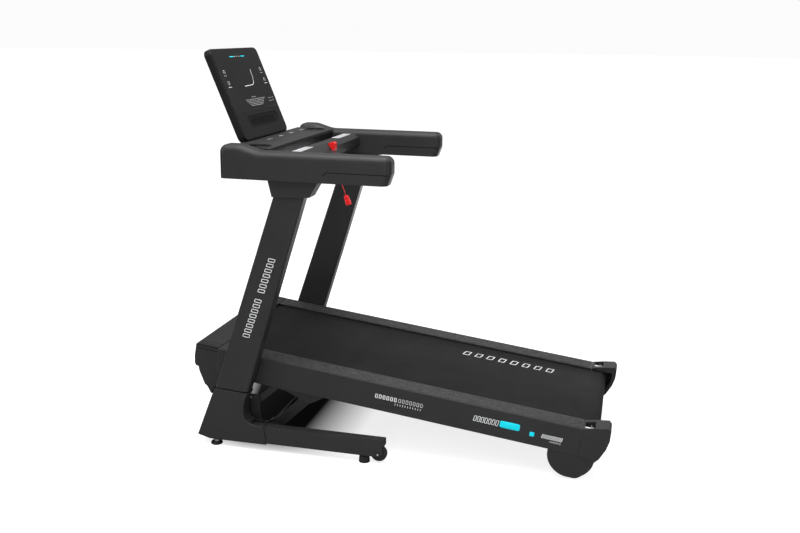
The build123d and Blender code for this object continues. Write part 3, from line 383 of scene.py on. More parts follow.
def cord_finish():
    """Braided red cord: crossing strands about a millimetre apart, with a soft fibre sheen."""
    material, bump = surface_finish(
        "braided_cord", (0.62, 0.012, 0.014, 1.0), 0.62, dusty=0.02, wear_and_highlight=0.0, sheen=0.4, edge=0.0001
    )
    tree = material.node_tree
    strands = add(tree, "ShaderNodeGroup", node_tree=lattice)
    strands.inputs["Turn"].default_value = (pi / 2, 0, 0)
    strands.inputs["Across"].default_value = 2600.0
    strands.inputs["Along"].default_value = 2600.0
    raised = add(
        tree,
        "ShaderNodeBump",
        {
            "Strength": 0.6,
            "Distance": 0.0003,
            "Height": strands.outputs[0],
            "Normal": bump.outputs[0],
        },
    )
    tree.links.new(raised.outputs[0], tree.nodes["Principled BSDF"].inputs["Normal"])
    return material


red = (0.72, 0.014, 0.016, 1.0)
cyan = (0.0, 0.62, 0.75, 1.0)
white = (0.82, 0.83, 0.84, 1.0)
across_lines = (6, 1800, 1800)
finishes = {
    "frame_paint": surface_finish("powder_coat", grey(0.019), 0.44, (420, 420, 420), 0.0004, 0.22)[0],
    "trim_plastic": surface_finish("moulded_plastic", grey(0.018), 0.48, (1500, 1500, 1500))[0],
    # The foot rails' strongly lightened edges are a painted edge highlight as well as wear.
    "rail_plastic": surface_finish(
        "foot_rail_plastic",
        grey(0.022),
        0.46,
        (1700, 25, 1700),
        0.0003,
        0.35,
        worn_and_highlighted=grey(0.13),
        wear_and_highlight=0.9,
        edge=0.0026,
        turn=-incline,
        gloss=0.22,
    )[0],
    "foot_rubber": surface_finish("foot_rubber", grey(0.012), 0.78, (700, 700, 700), dusty=0.06)[0],
    "belt_rubber": belt_finish(),
    "wheel_plastic": surface_finish("wheel_plastic", grey(0.014), 0.42, (900, 900, 900))[0],
    "key_plastic": surface_finish("key_plastic", grey(0.090), 0.30, (2200, 2200, 2200), edge=0.0006)[0],
    "screen_glass": surface_finish(
        "screen_glass", grey(0.002), 0.14, (40, 40, 40), 0.00001, 0.02, dusty=0.0, wear_and_highlight=0.0, gloss=0.35
    )[0],
    "electronics": surface_finish(
        "cast_aluminium", grey(0.42), 0.38, (500, 500, 500), metallic=1.0, dusty=0.10
    )[0],
    "red_plastic": surface_finish("red_plastic", red, 0.32, (1200, 1200, 1200), coat=0.3, edge=0.0006)[0],
    "red_cord": cord_finish(),
    "grip_metal": surface_finish(
        "brushed_plate", grey(0.80), 0.34, across_lines, 0.00005, 0.08, metallic=0.7, dusty=0.02
    )[0],
    "steel": surface_finish("zinc_steel", grey(0.50), 0.30, across_lines, 0.0001, 0.25, metallic=1.0)[0],
    "motor_paint": surface_finish("motor_enamel", grey(0.016), 0.34, (500, 500, 500), coat=0.1)[0],
    "board_wood": surface_finish("pressed_board", (0.10, 0.07, 0.045, 1.0), 0.6, (900, 60, 900), wear_and_highlight=0.0)[0],
}
chrome_rod = surface_finish(
    "chrome_rod", grey(0.75), 0.10, (1400, 20, 1400), 0.00005, 0.1, metallic=1.0, turn=-incline
)[0]
# The console's lightened edge line is a painted edge highlight as well as wear.
console_plastic = surface_finish(
    "console_plastic",
    grey(0.009),
    0.52,
    (1500, 1500, 1500),
    worn_and_highlighted=grey(0.10),
    wear_and_highlight=0.9,
    edge=0.0022,
    gloss=0.10,
)[0]
cup_plastic = surface_finish("cup_plastic", grey(0.020), 0.22, (1500, 1500, 1500), gloss=0.6)[0]
# Painted shade: a near-black finish for seams, grooves and vent slots, standing in for the shade inside them.
painted_recess_shade = surface_finish("painted_recess_shade", grey(0.004), 0.80, wear_and_highlight=0.0, gloss=0.1)[0]
grille_plastic = surface_finish("grille_plastic", grey(0.006), 0.6, (1500, 1500, 1500), gloss=0.1)[0]
black_oxide = surface_finish("black_oxide", grey(0.030), 0.42, (700, 700, 700), metallic=0.6)[0]
printed_white = lit_finish("printed_white", white, 0.0)
printed_grey = lit_finish("printed_grey", grey(0.30), 0.0)
# The printed cyan also glows a little: a painted glow, not a lamp.
glowing_cyan_print = lit_finish("glowing_cyan_print", cyan, 0.15)
lamp_white = lit_finish("lamp_white", (0.6, 0.6, 0.6, 1.0), 0.25)
lamp_cyan = lit_finish("lamp_cyan", cyan, 0.5)

slot_of = {entry["node"]: entry["material_slot"] for entry in frame["record"]["subparts"]}
own_finish = {
    "strut_rod": chrome_rod,
    "console_housing": console_plastic,
    "console_grille": grille_plastic,
    "cup_holders": cup_plastic,
    "cradle_pins": black_oxide,
    "base_bolts": black_oxide,
    "deck_axles": black_oxide,
}
for node, shown in frame["nodes"].items():
    shown.data.materials.clear()
    shown.data.materials.append(own_finish.get(node) or finishes[slot_of[node]])


# ================================ surfaces ======================================================
def quads(rows, columns, start, wrap_rows=False):
    """The faces between neighbouring rows and columns of a grid, whose first vertex is start.

    Columns close into rings, and rows too where wrap_rows is set.
    """
    row, column = np.meshgrid(
        np.arange(rows if wrap_rows else rows - 1),
        np.arange(columns),
        indexing="ij",
    )
    below = (row + 1) % rows * columns
    right = (column + 1) % columns
    here = row * columns
    return start + np.stack([here + column, here + right, below + right, below + column], -1).reshape(-1, 4)


def skin(name, grids, body, finish, hides=(), wrap_rows=False):
    """One mesh from grids of points, each rows by columns by 3, riding on a body.

    Doubled points, as at a pole, are merged, and the faces are then turned outwards.
    """
    points = np.concatenate([grid.reshape(-1, 3) for grid in grids])
    starts = np.cumsum([0] + [grid.shape[0] * grid.shape[1] for grid in grids])
    faces = np.concatenate(
        [quads(*grid.shape[:2], start, wrap_rows) for grid, start in zip(grids, starts)]
    )
    mesh = bpy.data.meshes.new(name)
    mesh.from_pydata(points.tolist(), [], faces.tolist())
    work = bmesh.new()
    work.from_mesh(mesh)
    bmesh.ops.remove_doubles(work, verts=work.verts, dist=1e-6)
    bmesh.ops.dissolve_degenerate(work, edges=work.edges, dist=1e-7)
    bmesh.ops.recalc_face_normals(work, faces=work.faces)
    work.to_mesh(mesh)
    work.free()
    mesh.polygons.foreach_set("use_smooth", np.full(len(mesh.polygons), True))
    mesh.set_sharp_from_angle(angle=radians(38))
    mesh.materials.append(finish)
    piece = bpy.data.objects.new(name, mesh)
    bpy.context.collection.objects.link(piece)
    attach(piece, body)
    if hides:
        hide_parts(*hides)
    return piece


def turned(profile, axis_place, axis, start, steps=48, ripple=None):
    """A profile of (distance along the axis, radius) turned once round the axis.

    start is the direction that the angle is counted from. ripple(angle, row) is added to the
    radius, as an array of rows by steps.
    """
    profile = np.array(profile)
    angle = np.linspace(0, 2 * pi, steps, endpoint=False)
    axis, start = np.array(axis, dtype=float), np.array(start, dtype=float)
    other = np.cross(axis, start)
    radius = profile[:, 1, None] + (ripple(angle[None, :], profile) if ripple else 0 * angle[None, :])
    ring = np.cos(angle)[:, None] * start + np.sin(angle)[:, None] * other
    return axis_place + profile[:, 0, None, None] * axis + radius[..., None] * ring[None]


def strokes(lines, width, place, height, steps=16):
    """Raised pen strokes: each is the set of points within half a width of a straight line.

    lines is a list of ((a, b), (c, d)) in the surface's own two directions, and place maps those
    and a height to points. A point's ring runs round one end and then the other.
    """
    lines = np.array(lines, dtype=float)
    angle = np.linspace(0, 2 * pi, steps, endpoint=False) + pi / steps
    along = lines[:, 1] - lines[:, 0]
    along = along / np.maximum(np.linalg.norm(along, axis=1, keepdims=True), 1e-9)
    side = np.stack([-along[:, 1], along[:, 0]], 1)
    ends = np.where(np.cos(angle)[None, :, None] > 0, lines[:, 1, None], lines[:, 0, None])
    round_end = np.cos(angle)[None, :, None] * along[:, None] + np.sin(angle)[None, :, None] * side[:, None]
    section = ((0.0, -height), (1.0, -height), (1.0, height * 0.6), (0.85, height), (0.0, height))
    grids = []
    for index in range(len(lines)):
        rows = []
        for reach, level in section:
            flat = ends[index] + reach * width / 2 * round_end[index]
            rows.append(place(flat[:, 0], flat[:, 1], level))
        grids.append(np.stack(rows))
    return grids


def superellipse(power, steps=40):
    """The unit superellipse: signed powers of the cosine and the sine, as two arrays."""
    angle = np.linspace(0, 2 * pi, steps, endpoint=False)
    wide = np.sign(np.cos(angle)) * np.abs(np.cos(angle)) ** (2 / power)
    tall = np.sign(np.sin(angle)) * np.abs(np.sin(angle)) ** (2 / power)
    return wide, tall


def tablet(centre, half_a, half_b, place, height):
    """A raised rounded rectangle: a superellipse of the eighth power, with a softened rim."""
    wide, tall = superellipse(8.0)
    a, b = half_a * wide, half_b * tall
    rim = min(half_a, half_b)
    section = ((rim, -height), (0.0, -height), (0.0, height * 0.7), (height * 0.4, height), (rim, height))
    rows = []
    for inset, level in section:
        keep_a, keep_b = max(0.0, 1 - inset / half_a), max(0.0, 1 - inset / half_b)
        if inset == rim:
            keep_a = keep_b = 0.0
        rows.append(place(centre[0] + a * keep_a, centre[1] + b * keep_b, level))
    return np.stack(rows)


def lofted(name, stations, path_from, forward, side, body, finish, hides=()):
    """A body whose section is a superellipse of the fourth power that changes along a straight path.

    stations are (distance, half width, half height); side is the direction of the width.
    """
    forward, side = np.array(forward, dtype=float), np.array(side, dtype=float)
    third = np.cross(forward, side)
    stations = np.array(stations)
    wide, tall = superellipse(4.0)
    grid = (
        np.array(path_from)
        + stations[:, 0, None, None] * forward
        + (stations[:, 1, None] * wide)[..., None] * side
        + (stations[:, 2, None] * tall)[..., None] * third
    )
    return skin(name, [grid], body, finish, hides)


# ================================ lanyard =======================================================
cord_radius = 0.0015
cord_points = [
    (0.0, 0.3245, 1.060),
    (-0.0005, 0.323, 1.042),
    (-0.001, 0.318, 1.018),
    (-0.001, 0.311, 0.990),
    (0.0, 0.304, 0.962),
    (0.001, 0.298, 0.936),
    (0.001, 0.290, 0.912),
    (0.0005, 0.2815, 0.889),
]
cord_curve = bpy.data.curves.new("lanyard_cord", "CURVE")
cord_curve.dimensions = "3D"
cord_curve.bevel_depth = cord_radius
cord_curve.bevel_resolution = 5
cord_curve.use_fill_caps = True
spline = cord_curve.splines.new("NURBS")
spline.points.add(len(cord_points) - 1)
for point, place in zip(spline.points, cord_points):
    point.co = (*place, 1.0)
spline.order_u = 3
spline.use_endpoint_u = True
spline.resolution_u = 12
cord_curve.materials.append(finishes["red_cord"])
cord = bpy.data.objects.new("lanyard_cord", cord_curve)
bpy.context.collection.objects.link(cord)
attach(cord, "safety_key")
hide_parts("lanyard")


cord_end = np.array(cord_points[-1])
clip_along = cord_end - np.array(cord_points[-2])
clip_along /= np.linalg.norm(clip_along)
clip_stations = [
    (0.0, 0.0, 0.0),
    (0.0, 0.0066, 0.0036),
    (0.002, 0.0080, 0.0044),
    (0.008, 0.0094, 0.0050),
    (0.014, 0.0104, 0.0054),
    (0.015, 0.0098, 0.0048),
    (0.016, 0.0098, 0.0048),
    (0.017, 0.0106, 0.0055),
    (0.028, 0.0110, 0.0056),
    (0.036, 0.0112, 0.0056),
    (0.038, 0.0104, 0.0050),
    (0.038, 0.0, 0.0),
]
clip = lofted(
    "lanyard_grip",
    clip_stations,
    cord_end,
    clip_along,
    np.cross(clip_along, (1, 0, 0)),
    "safety_key",
    finishes["red_plastic"],
    ["lanyard_clip"],
)
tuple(cord_points[0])


# ================================ running belt and foot rails ===================================
def belt_loop():
    """The belt: a thin rounded rectangle carried once round both rollers.

    The path is two straight runs and two half circles about the roller axes.
    """
    middle = roller_radius + belt_thick / 2 + 0.00002
    half = belt_thick / 2 - 0.00002
    run = np.linspace(rear_roller_s, front_roller_s, 90)
    turn = np.linspace(pi / 2, -pi / 2, 26)[1:-1]
    path_s = np.concatenate([run, front_roller_s + 0 * turn, run[::-1], rear_roller_s + 0 * turn])
    out_s = np.concatenate([0 * run, np.cos(turn), 0 * run, -np.cos(turn)])
    out_n = np.concatenate([0 * run + 1, np.sin(turn), 0 * run - 1, -np.sin(turn)])
    angle = np.linspace(0, 2 * pi, 12, endpoint=False) + pi / 12
    edge_x = np.sign(np.cos(angle)) * (belt_half - half) + half * np.cos(angle)
    edge_n = half * np.sin(angle)
    reach = middle + edge_n[None, :]
    grid = on_deck(
        np.broadcast_to(edge_x, (len(path_s), 12)),
        path_s[:, None] + reach * out_s[:, None],
        roller_n + reach * out_n[:, None],
    )
    skin(
        "belt_loop",
        [grid],
        "deck",
        finishes["belt_rubber"],
        ["running_belt"],
        wrap_rows=True,
    )


def rail_grips():
    """Ribbed treads on the foot rails: the section is a flat strip with rounded ribs, each a
    raised cosine, and it is carried along the rail with its ends run down to the rail."""
    low, high, ribs = 0.2715, 0.3440, 18
    across = np.linspace(low, high, ribs * 8 + 1)
    phase = (across - low) / (high - low) * ribs
    rib = 0.0004 + 0.0007 * (0.5 - 0.5 * np.cos(2 * pi * phase)) ** 0.6
    along = np.array([0.004, 0.0055, 0.008, 0.35, 0.70, 1.05, 1.322, 1.3245, 1.326])
    rise = np.array([0.0, 0.6, 1.0, 1.0, 1.0, 1.0, 1.0, 0.6, 0.0])
    for side, sign in (("left", -1), ("right", 1)):
        top = rise[:, None] * rib[None, :]
        x = np.concatenate([across, across[::-1]])
        level = np.concatenate([top, np.zeros_like(top) - 0.0002], axis=1)
        grid = on_deck(np.broadcast_to(sign * x, level.shape), along[:, None], rail_top + level)
        skin(f"foot_rail_tread_{side}", [grid], "deck", finishes["rail_plastic"])


belt_loop()
rail_grips()


# ================================ wheels, feet and bolts ========================================
def wheel(name, radius, width, ribs):
    """A wheel: a closed profile round its bore, with a rounded tread, a step to the rim and a
    dished web; the tread is cut by shallow grooves, a steep wave of the angle."""
    joint = joint_at(f"{name}_spin")
    half = width / 2
    bore = 0.0052
    profile = [
        (-half, bore),
        (-half, 0.0095),
        (-half + 0.0035, 0.0105),
        (-half + 0.0035, radius * 0.66),
        (-half + 0.0006, radius * 0.72),
        (-half, radius * 0.78),
        (-half + 0.0004, radius - 0.0034),
        (-half + 0.0016, radius - 0.0012),
        (-half + 0.0040, radius),
        (0.0, radius),
        (half - 0.0040, radius),
        (half - 0.0016, radius - 0.0012),
        (half - 0.0004, radius - 0.0034),
        (half, radius * 0.78),
        (half - 0.0006, radius * 0.72),
        (half - 0.0035, radius * 0.66),
        (half - 0.0035, 0.0105),
        (half, 0.0095),
        (half, bore),
    ]

    def grooves(angle, rows):
        on_tread = (rows[:, 1] > radius - 0.0005)[:, None] * 1.0
        return -0.0005 * on_tread * (0.5 + 0.5 * np.tanh(6 * (np.cos(ribs * angle) - 0.7)))

    grid = turned(profile, joint, (1, 0, 0), (0, 0, 1), 240, grooves)
    skin(name + "_moulding", [grid], name, finishes["wheel_plastic"], [name], wrap_rows=True)


def levelling_foot(name):
    """A threaded foot: a ribbed rubber disc, a six-sided nut and a stem whose thread is a radius
    that rises and falls once per pitch as the height and the angle go on together."""
    low, high = np.array(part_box(name))
    centre = np.array([(low[0] + high[0]) / 2, (low[1] + high[1]) / 2, 0.0])
    disc = [(0.0, 0.0), (0.0, 0.0205), (0.0008, 0.0218), (0.0040, 0.0216), (0.0075, 0.0204), (0.0090, 0.0185)]
    disc += [(0.0092, 0.0)]

    def knurl(angle, rows):
        on_side = ((rows[:, 1] > 0.020) & (rows[:, 0] > 0.0005))[:, None] * 1.0
        return -0.0007 * on_side * (0.5 + 0.5 * np.cos(30 * angle))

    skin(
        name + "_pad",
        [turned(disc, centre, (0, 0, 1), (1, 0, 0), 240, knurl)],
        name,
        finishes["foot_rubber"],
        [name],
    )

    def six_sided(angle, rows):
        flat = cos(pi / 6) / np.cos((angle % (pi / 3)) - pi / 6)
        return np.where(rows[:, 1, None] > 0.006, rows[:, 1, None] * (flat - 1), 0.0)

    nut = [(0.0092, 0.0), (0.0092, 0.0108), (0.0098, 0.0118)]
    nut += [(0.0162, 0.0118), (0.0169, 0.0108), (0.0169, 0.0)]
    skin(
        name + "_nut",
        [turned(nut, centre, (0, 0, 1), (1, 0, 0), 72, six_sided)],
        name,
        finishes["steel"],
    )
    level = np.linspace(0.017, 0.0568, 200)
    stem = [(0.017, 0.0), *zip(level, np.full(200, 0.0046)), (0.0570, 0.0)]

    def thread(angle, rows):
        turns = rows[:, 0, None] / 0.00175 - angle / (2 * pi)
        return np.where(rows[:, 1, None] > 0.001, 0.0004 * np.cos(2 * pi * turns), 0.0)

    skin(
        name + "_stem",
        [turned(stem, centre, (0, 0, 1), (1, 0, 0), 32, thread)],
        name,
        finishes["steel"],
    )


def socket_screw(centre, axis, start, radius, height):
    """A button-head screw: a low dome, with a six-sided hole going in from its top."""

    def hexagon(angle, rows):
        flat = cos(pi / 6) / np.cos((angle % (pi / 3)) - pi / 6)
        in_hole = rows[:, 1, None] < radius * 0.56
        return np.where(in_hole, rows[:, 1, None] * (flat - 1), 0.0)

    profile = [
        (-0.0005, 0.0),
        (-0.0005, radius),
        (height * 0.35, radius),
        (height * 0.75, radius * 0.88),
        (height, radius * 0.66),
        (height, radius * 0.54),
        (height * 0.35, radius * 0.50),
        (height * 0.35, 0.0),
    ]
    return turned(profile, np.array(centre), axis, start, 48, hexagon)


for side in ("left", "right"):
    wheel(f"transport_wheel_{side}", 0.030, 0.020, 24)
    wheel(f"deck_wheel_{side}", 0.038, 0.020, 30)
    levelling_foot(f"front_foot_{side}")

wheel_axis = joint_at("transport_wheel_right_spin")
frame_screws = []
for sign in (-1, 1):
    outward = (sign, 0, 0)
    frame_screws.append(
        socket_screw((sign * 0.4140, wheel_axis[1], wheel_axis[2]), outward, (0, 0, 1), 0.0036, 0.0020)
    )
    frame_screws.append(socket_screw((sign * 0.3450, 0.546, 0.175), outward, (0, 0, 1), 0.0060, 0.0009))
skin("rail_screws", frame_screws, "base", finishes["steel"])

cap_screws = [
    socket_screw(on_deck(sign * tension_bolt_x, -0.0385, tension_bolt_n), -up_deck, (1, 0, 0), 0.0088, 0.0045)
    for sign in (-1, 1)
]
shanks = [
    turned(
        [(0.0, 0.0), (0.0, 0.0052), (0.026, 0.0052), (0.026, 0.0)],
        on_deck(sign * tension_bolt_x, -0.0380, tension_bolt_n),
        up_deck,
        (1, 0, 0),
        32,
    )
    for sign in (-1, 1)
]
skin("belt_tension_bolts", cap_screws + shanks, "deck", finishes["steel"])
plates = [
    tablet(
        (sign * tension_bolt_x, tension_bolt_n - 0.0045),
        0.020,
        0.0125,
        lambda a, b, level: on_deck(a, -0.0330 + level, b),
        0.0015,
    )
    for sign in (-1, 1)
]
skin("belt_tension_plates", plates, "deck", finishes["steel"])


# ================================ hood lines ====================================================
def hood_lines():
    """Two long shallow seams on each shoulder of the hood, and the vent slots at its front edge:
    dark strips of painted shade that stand a quarter of a millimetre out."""
    seams = [((x, 1.3385), (x, 1.416)) for x in (-0.336, -0.316, 0.316, 0.336)]
    top = strokes(seams, 0.0028, lambda a, b, level: on_deck(a, b, 0.199 + level), 0.00025)
    for sign in (-1, 1):
        sides = [((1.3385, 0.1925), (1.424, 0.1925)), ((1.3385, 0.180), (1.428, 0.180))]
        top += strokes(
            sides, 0.0022, lambda a, b, level, sign=sign: on_deck(sign * (hood_half + level), a, b), 0.00025
        )
    vents = [((x, 0.130), (x, 0.148)) for x in np.linspace(-0.10, 0.28, 20)]
    slope_s, slope_n = 1.429, 0.120
    lean = (1.431 - slope_s) / (0.149 - slope_n)
    top += strokes(
        vents, 0.0042, lambda a, b, level: on_deck(a, slope_s + (b - slope_n) * lean + level, b), 0.00025, 12
    )
    skin("hood_seams_and_vents", top, "deck", painted_recess_shade)


def handrail_seams():
    """The line where each grip's two shells meet, drawn as a strip of painted shade: one run along
    the side with a short bent start, on the outer and the inner face of both handrails."""
    high, rear, turn = 1.0395, 0.0035, 0.2155
    line = [((rear, high), (turn, high)), ((turn, high), (turn + 0.012, high - 0.0105))]
    seams = []
    for x, face in (
        (-handrail_outer, -1),
        (handrail_outer, 1),
        (-handrail_inner, 1),
        (handrail_inner, -1),
    ):
        seams += strokes(
            line,
            0.0030,
            lambda a, b, level, x=x, face=face: np.stack([x + face * level + 0 * a, a, b], -1),
            0.0001,
        )
    skin("handrail_seams", seams, "base", painted_recess_shade)


hood_lines()
handrail_seams()


# ================================ printed marks =================================================
def bars(first, last, count, height, gap_at=()):
    """Upright strokes at even steps from first to last, leaving out the places in gap_at."""
    places = [a for i, a in enumerate(np.linspace(first, last, count)) if i not in gap_at]
    return [((a, -height / 2), (a, height / 2)) for a in places]


def links(first, last, count, height, width, slant=0.0, gap_at=()):
    """Open slanted frames at even steps from first to last, each of four strokes."""
    lines = []
    for index, a in enumerate(np.linspace(first, last, count)):
        if index in gap_at:
            continue
        lean = slant * height / 2
        corners = [
            (a - width / 2 - lean, -height / 2),
            (a + width / 2 - lean, -height / 2),
            (a + width / 2 + lean, height / 2),
            (a - width / 2 + lean, height / 2),
        ]
        lines += list(zip(corners, corners[1:] + corners[:1]))
    return lines


def upright_mark(sign):
    """Maps a place along the upright's middle line, and across it, onto the outer face."""
    low, high = np.array([0.527, 0.432]), np.array([0.421, 0.726])
    along = (high - low) / np.linalg.norm(high - low)
    side = np.array([along[1], -along[0]])

    def place(a, b, level):
        a, b = np.broadcast_arrays(a, b)
        flat = low + a[..., None] * along - b[..., None] * side
        x = sign * (upright_outer + level) + 0 * a
        return np.stack([x, flat[..., 0], flat[..., 1]], -1)

    return place


def deck_mark(sign, s, n):
    """Maps a place along and across a mark onto the deck's outer side."""
    return lambda a, b, level: on_deck(sign * (deck_half + level), s - a, n + b)


def belt_mark(a, b, level):
    """Maps a place along and across a mark onto the running belt."""
    return on_deck(0.160 + b, 0.143 + a, belt_top + level)


# Each row of the deck's white marks: its strokes, their width, and its start along and out of the deck.
deck_rows = [
    (links(0.004, 0.074, 6, 0.013, 0.007), 0.0030, 0.726, 0.150),
    (links(0.090, 0.170, 7, 0.013, 0.007), 0.0013, 0.726, 0.150),
    (bars(0.075, 0.168, 11, 0.006), 0.0018, 0.726, 0.133),
    (links(0.005, 0.083, 7, 0.019, 0.008, 0.15), 0.0020, 0.367, 0.149),
    (links(0.050, 0.113, 7, 0.013, 0.0055, 0.3), 0.0024, 0.172, 0.139),
    (bars(0.078, 0.112, 6, 0.005), 0.0018, 0.172, 0.124),
]
upright_row = links(0.006, 0.3065, 16, 0.023, 0.011, 0.2, (8,))
for side, sign in (("left", -1), ("right", 1)):
    skin(
        f"upright_stripes_{side}",
        strokes(upright_row, 0.0024, upright_mark(sign), print_height),
        "base",
        printed_white,
    )
    white_strokes = []
    for lines, width, s, n in deck_rows:
        white_strokes += strokes(lines, width, deck_mark(sign, s, n), print_height)
    skin(f"deck_stripes_{side}", white_strokes, "deck", printed_white)
    cyan_patches = [
        tablet((0.0, 0.0), 0.035, 0.0125, deck_mark(sign, 0.239, 0.1495), print_height),
        tablet((0.012, 0.0), 0.008, 0.008, deck_mark(sign, 0.172, 0.137), print_height),
    ]
    skin(f"deck_accents_{side}", cyan_patches, "deck", glowing_cyan_print)

skin(
    "belt_stripes",
    strokes(links(0.012, 0.345, 8, 0.036, 0.022, -0.2), 0.0034, belt_mark, print_height),
    "deck",
    printed_white,
)


# ================================ console and keys ==============================================
def on_console(x, v, level):
    """A point of the console's face, from its place across and up the face."""
    x, v = np.broadcast_arrays(x, v)
    up_face = np.array([0.0, sin(console_lean), cos(console_lean)])
    out = np.array([0.0, -cos(console_lean), sin(console_lean)])
    across = x[..., None] * np.array([1.0, 0.0, 0.0])
    return console_foot + across + v[..., None] * up_face + level * out


def console_lamps():
    """The lit signs behind the glass: short dashes, rings and one long bent track line."""
    dial = np.linspace(-0.3 * pi, 1.3 * pi, 9)
    ring = np.stack([np.cos(dial), np.sin(dial)], 1) * 0.007
    signs = []
    for x, v in ((-0.168, 0.262), (-0.166, 0.219), (0.171, 0.261), (0.173, 0.218)):
        signs += list(zip(ring[:-1] + (x, v), ring[1:] + (x, v)))
        signs += [((x - 0.009, v - 0.014), (x + 0.009, v - 0.014))]
    signs += [((x, 0.203), (x + 0.010, 0.203)) for x in (-0.180, -0.162, 0.160, 0.178)]
    signs += [((x, 0.318), (x + 0.010, 0.318)) for x in (-0.030, -0.012, 0.012)]
    skin(
        "console_signs",
        strokes(signs, 0.0016, on_console, 0.0003, 10),
        "base",
        lamp_white,
    )
    bend = [(0.072, 0.262), (0.070, 0.246), (0.066, 0.226), (0.056, 0.210), (0.040, 0.203), (-0.034, 0.201)]
    track = list(zip(bend, bend[1:]))
    skin("console_track", strokes(track, 0.0026, on_console, 0.0003, 12), "base", lamp_white)
    rows = []
    for row, v in enumerate((0.148, 0.142, 0.136, 0.130, 0.124)):
        ends = np.linspace(-0.080 + 0.010 * row, 0.108 - 0.010 * row, 15 - row)
        rows += [((a, v), (a + 0.008, v)) for a in ends[:-1]]
    rows += [((a, 0.157), (a + 0.014, 0.157)) for a in (-0.014, 0.008)]
    rows += [((a, v), (a + 0.010, v)) for a in (0.140, 0.158, 0.176) for v in (0.143, 0.132)]
    skin("console_dashes", strokes(rows, 0.0026, on_console, 0.0003, 8), "base", printed_grey)
    accents = [((x, 0.318), (x + 0.014, 0.318)) for x in (-0.066, -0.050, 0.034, 0.050)]
    accent_strokes = strokes(accents, 0.0034, on_console, 0.0003, 12)
    skin("console_accents", accent_strokes, "base", lamp_cyan)


def key_signs():
    """A plain sign on each key: minus, square, triangle and plus."""
    half = 0.0035
    signs = {
        "slower": [((-half, 0), (half, 0))],
        "stop": [((-half, -half), (half, -half)), ((half, -half), (half, half))],
        "start": [((-half, -half), (half, 0)), ((half, 0), (-half, half)), ((-half, half), (-half, -half))],
        "faster": [((-half, 0), (half, 0)), ((0, -half), (0, half))],
    }
    signs["stop"] += [((half, half), (-half, half)), ((-half, half), (-half, -half))]
    for name, lines in signs.items():
        low, high = np.array(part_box(f"key_{name}"))
        middle = (low + high) / 2

        def place(a, b, level, middle=middle, top=high[2]):
            a, b = np.broadcast_arrays(a, b)
            return np.stack([middle[0] + a, middle[1] + b, top + level + 0 * a], -1)

        skin(
            f"key_sign_{name}",
            strokes(lines, 0.0011, place, 0.00025, 10),
            f"key_{name}",
            lamp_white,
        )


console_lamps()
key_signs()


# ================================ room and light ================================================
def soft_lamp(name, place, target, size, power):
    """A soft box that points at its target and isn't seen itself."""
    lamp = bpy.data.lights.new(name, "AREA")
    lamp.shape = "RECTANGLE"
    lamp.size, lamp.size_y = size
    lamp.energy = power
    holder = bpy.data.objects.new(name, lamp)
    bpy.context.collection.objects.link(holder)
    holder.location = place
    aim = np.array(target) - np.array(place)
    holder.rotation_euler = Vector(aim).to_track_quat("-Z", "Y").to_euler()
    holder.visible_camera = False


middle = (0.0, 0.0, 0.7)
soft_lamp("top_box", (-0.5, 0.2, 3.4), middle, (2.2, 3.4), 130.0)
soft_lamp("side_strip", (-3.4, -0.2, 0.9), (0.0, 0.0, 0.6), (1.2, 2.6), 25.0)
soft_lamp("rear_strip", (-2.0, -2.9, 0.9), (0.0, -0.5, 0.3), (0.6, 1.4), 12.0)
soft_lamp("console_strip", (-2.2, 3.4, 2.2), middle, (0.8, 2.4), 30.0)
soft_lamp("far_strip", (3.2, -1.6, 2.4), middle, (0.8, 2.6), 14.0)
soft_lamp("far_floor_card", (2.6, 0.2, 0.12), (0.0, 0.2, 0.5), (3.0, 0.9), 22.0)


def studio_world():
    """White where the camera looks past the object; as light, dim at the sides and brighter above."""
    world = bpy.data.worlds.new("studio")
    bpy.context.scene.world = world
    world.use_nodes = True
    tree = world.node_tree
    seen = add(tree, "ShaderNodeLightPath")
    place = add(tree, "ShaderNodeTexCoord")
    split = add(tree, "ShaderNodeSeparateXYZ", {0: place.outputs["Generated"]})
    above = spread(tree, split.outputs["Z"], 0.05, 0.85, 0.12, 0.75)
    to_camera = add(tree, "ShaderNodeMix", {"Factor": seen.outputs["Is Camera Ray"], 2: above, 3: 0.97})
    strength = to_camera.outputs[0]
    background = tree.nodes["Background"]
    background.inputs["Color"].default_value = (1.0, 1.0, 1.0, 1.0)
    tree.links.new(strength, background.inputs["Strength"])


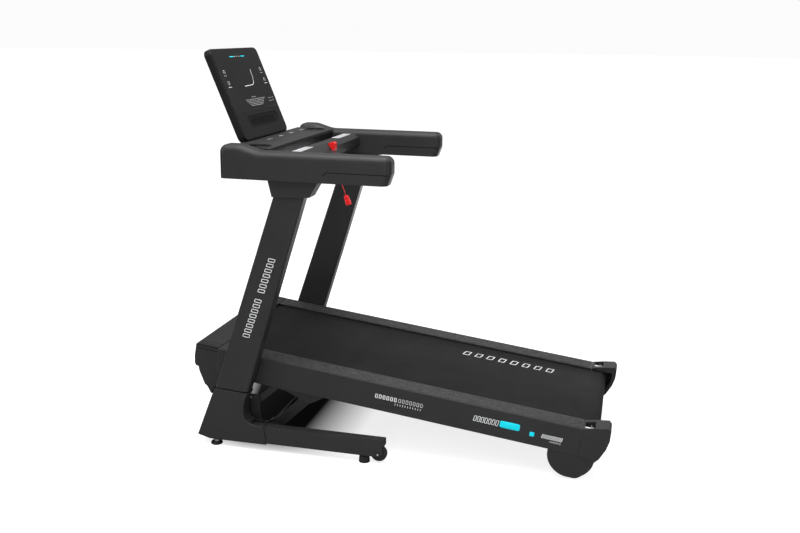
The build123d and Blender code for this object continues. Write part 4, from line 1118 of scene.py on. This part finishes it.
def studio_floor():
    """A wide flat disc just below the feet, in pale paper that glows a little to the camera; it is
    dark where the front of the deck shades it."""
    angle = np.linspace(0, 2 * pi, 96, endpoint=False)
    radius = np.array([0.0, 3.0, 8.0, 60.0])
    grid = np.stack(
        [
            radius[:, None] * np.cos(angle),
            radius[:, None] * np.sin(angle),
            np.full((4, 96), -0.0006),
        ],
        -1,
    )
    mesh = bpy.data.meshes.new("studio_floor")
    mesh.from_pydata(grid.reshape(-1, 3).tolist(), [], quads(4, 96, 0).tolist())
    paper = bpy.data.materials.new("paper")
    paper.use_nodes = True
    tree = paper.node_tree
    shader = tree.nodes["Principled BSDF"]
    place = add(tree, "ShaderNodeTexCoord")
    split = add(tree, "ShaderNodeSeparateXYZ", {0: place.outputs["Object"]})
    inward = calculate(tree, "ABSOLUTE", split.outputs["X"])
    slant = calculate(tree, "MULTIPLY", split.outputs["X"], -0.25)
    forward = calculate(tree, "ADD", split.outputs["Y"], slant)
    under = calculate(
        tree,
        "MULTIPLY",
        spread(tree, inward, 0.43, 0.29),
        calculate(
            tree,
            "MULTIPLY",
            spread(tree, split.outputs["Y"], 0.17, 0.42, 0.0, 1.1),
            spread(tree, forward, 0.82, 0.66),
        ),
    )
    shaded = calculate(tree, "MINIMUM", under, 1.0)
    paper_colour = blend_colours(tree, shaded, (0.45, 0.45, 0.45, 1.0), (0.01, 0.01, 0.01, 1.0))
    tree.links.new(paper_colour, shader.inputs["Base Color"])
    shader.inputs["Roughness"].default_value = 0.9
    shader.inputs["Specular IOR Level"].default_value = 0.1
    shader.inputs["Emission Color"].default_value = (1.0, 1.0, 1.0, 1.0)
    seen = add(tree, "ShaderNodeLightPath")
    glow = spread(tree, seen.outputs["Is Camera Ray"], 0.0, 1.0, 0.0, 0.80)
    open_floor = calculate(tree, "SUBTRACT", 1.0, shaded)
    tree.links.new(calculate(tree, "MULTIPLY", glow, open_floor), shader.inputs["Emission Strength"])
    mesh.materials.append(paper)
    floor = bpy.data.objects.new("studio_floor", mesh)
    bpy.context.collection.objects.link(floor)
    floor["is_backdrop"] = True


bpy.context.scene.view_settings.view_transform = "Standard"
studio_world()
studio_floor()

boxes = {"cad": cad_box, "visual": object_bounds()}
{key: [list(map(float, corner)) for corner in value] for key, value in boxes.items()}
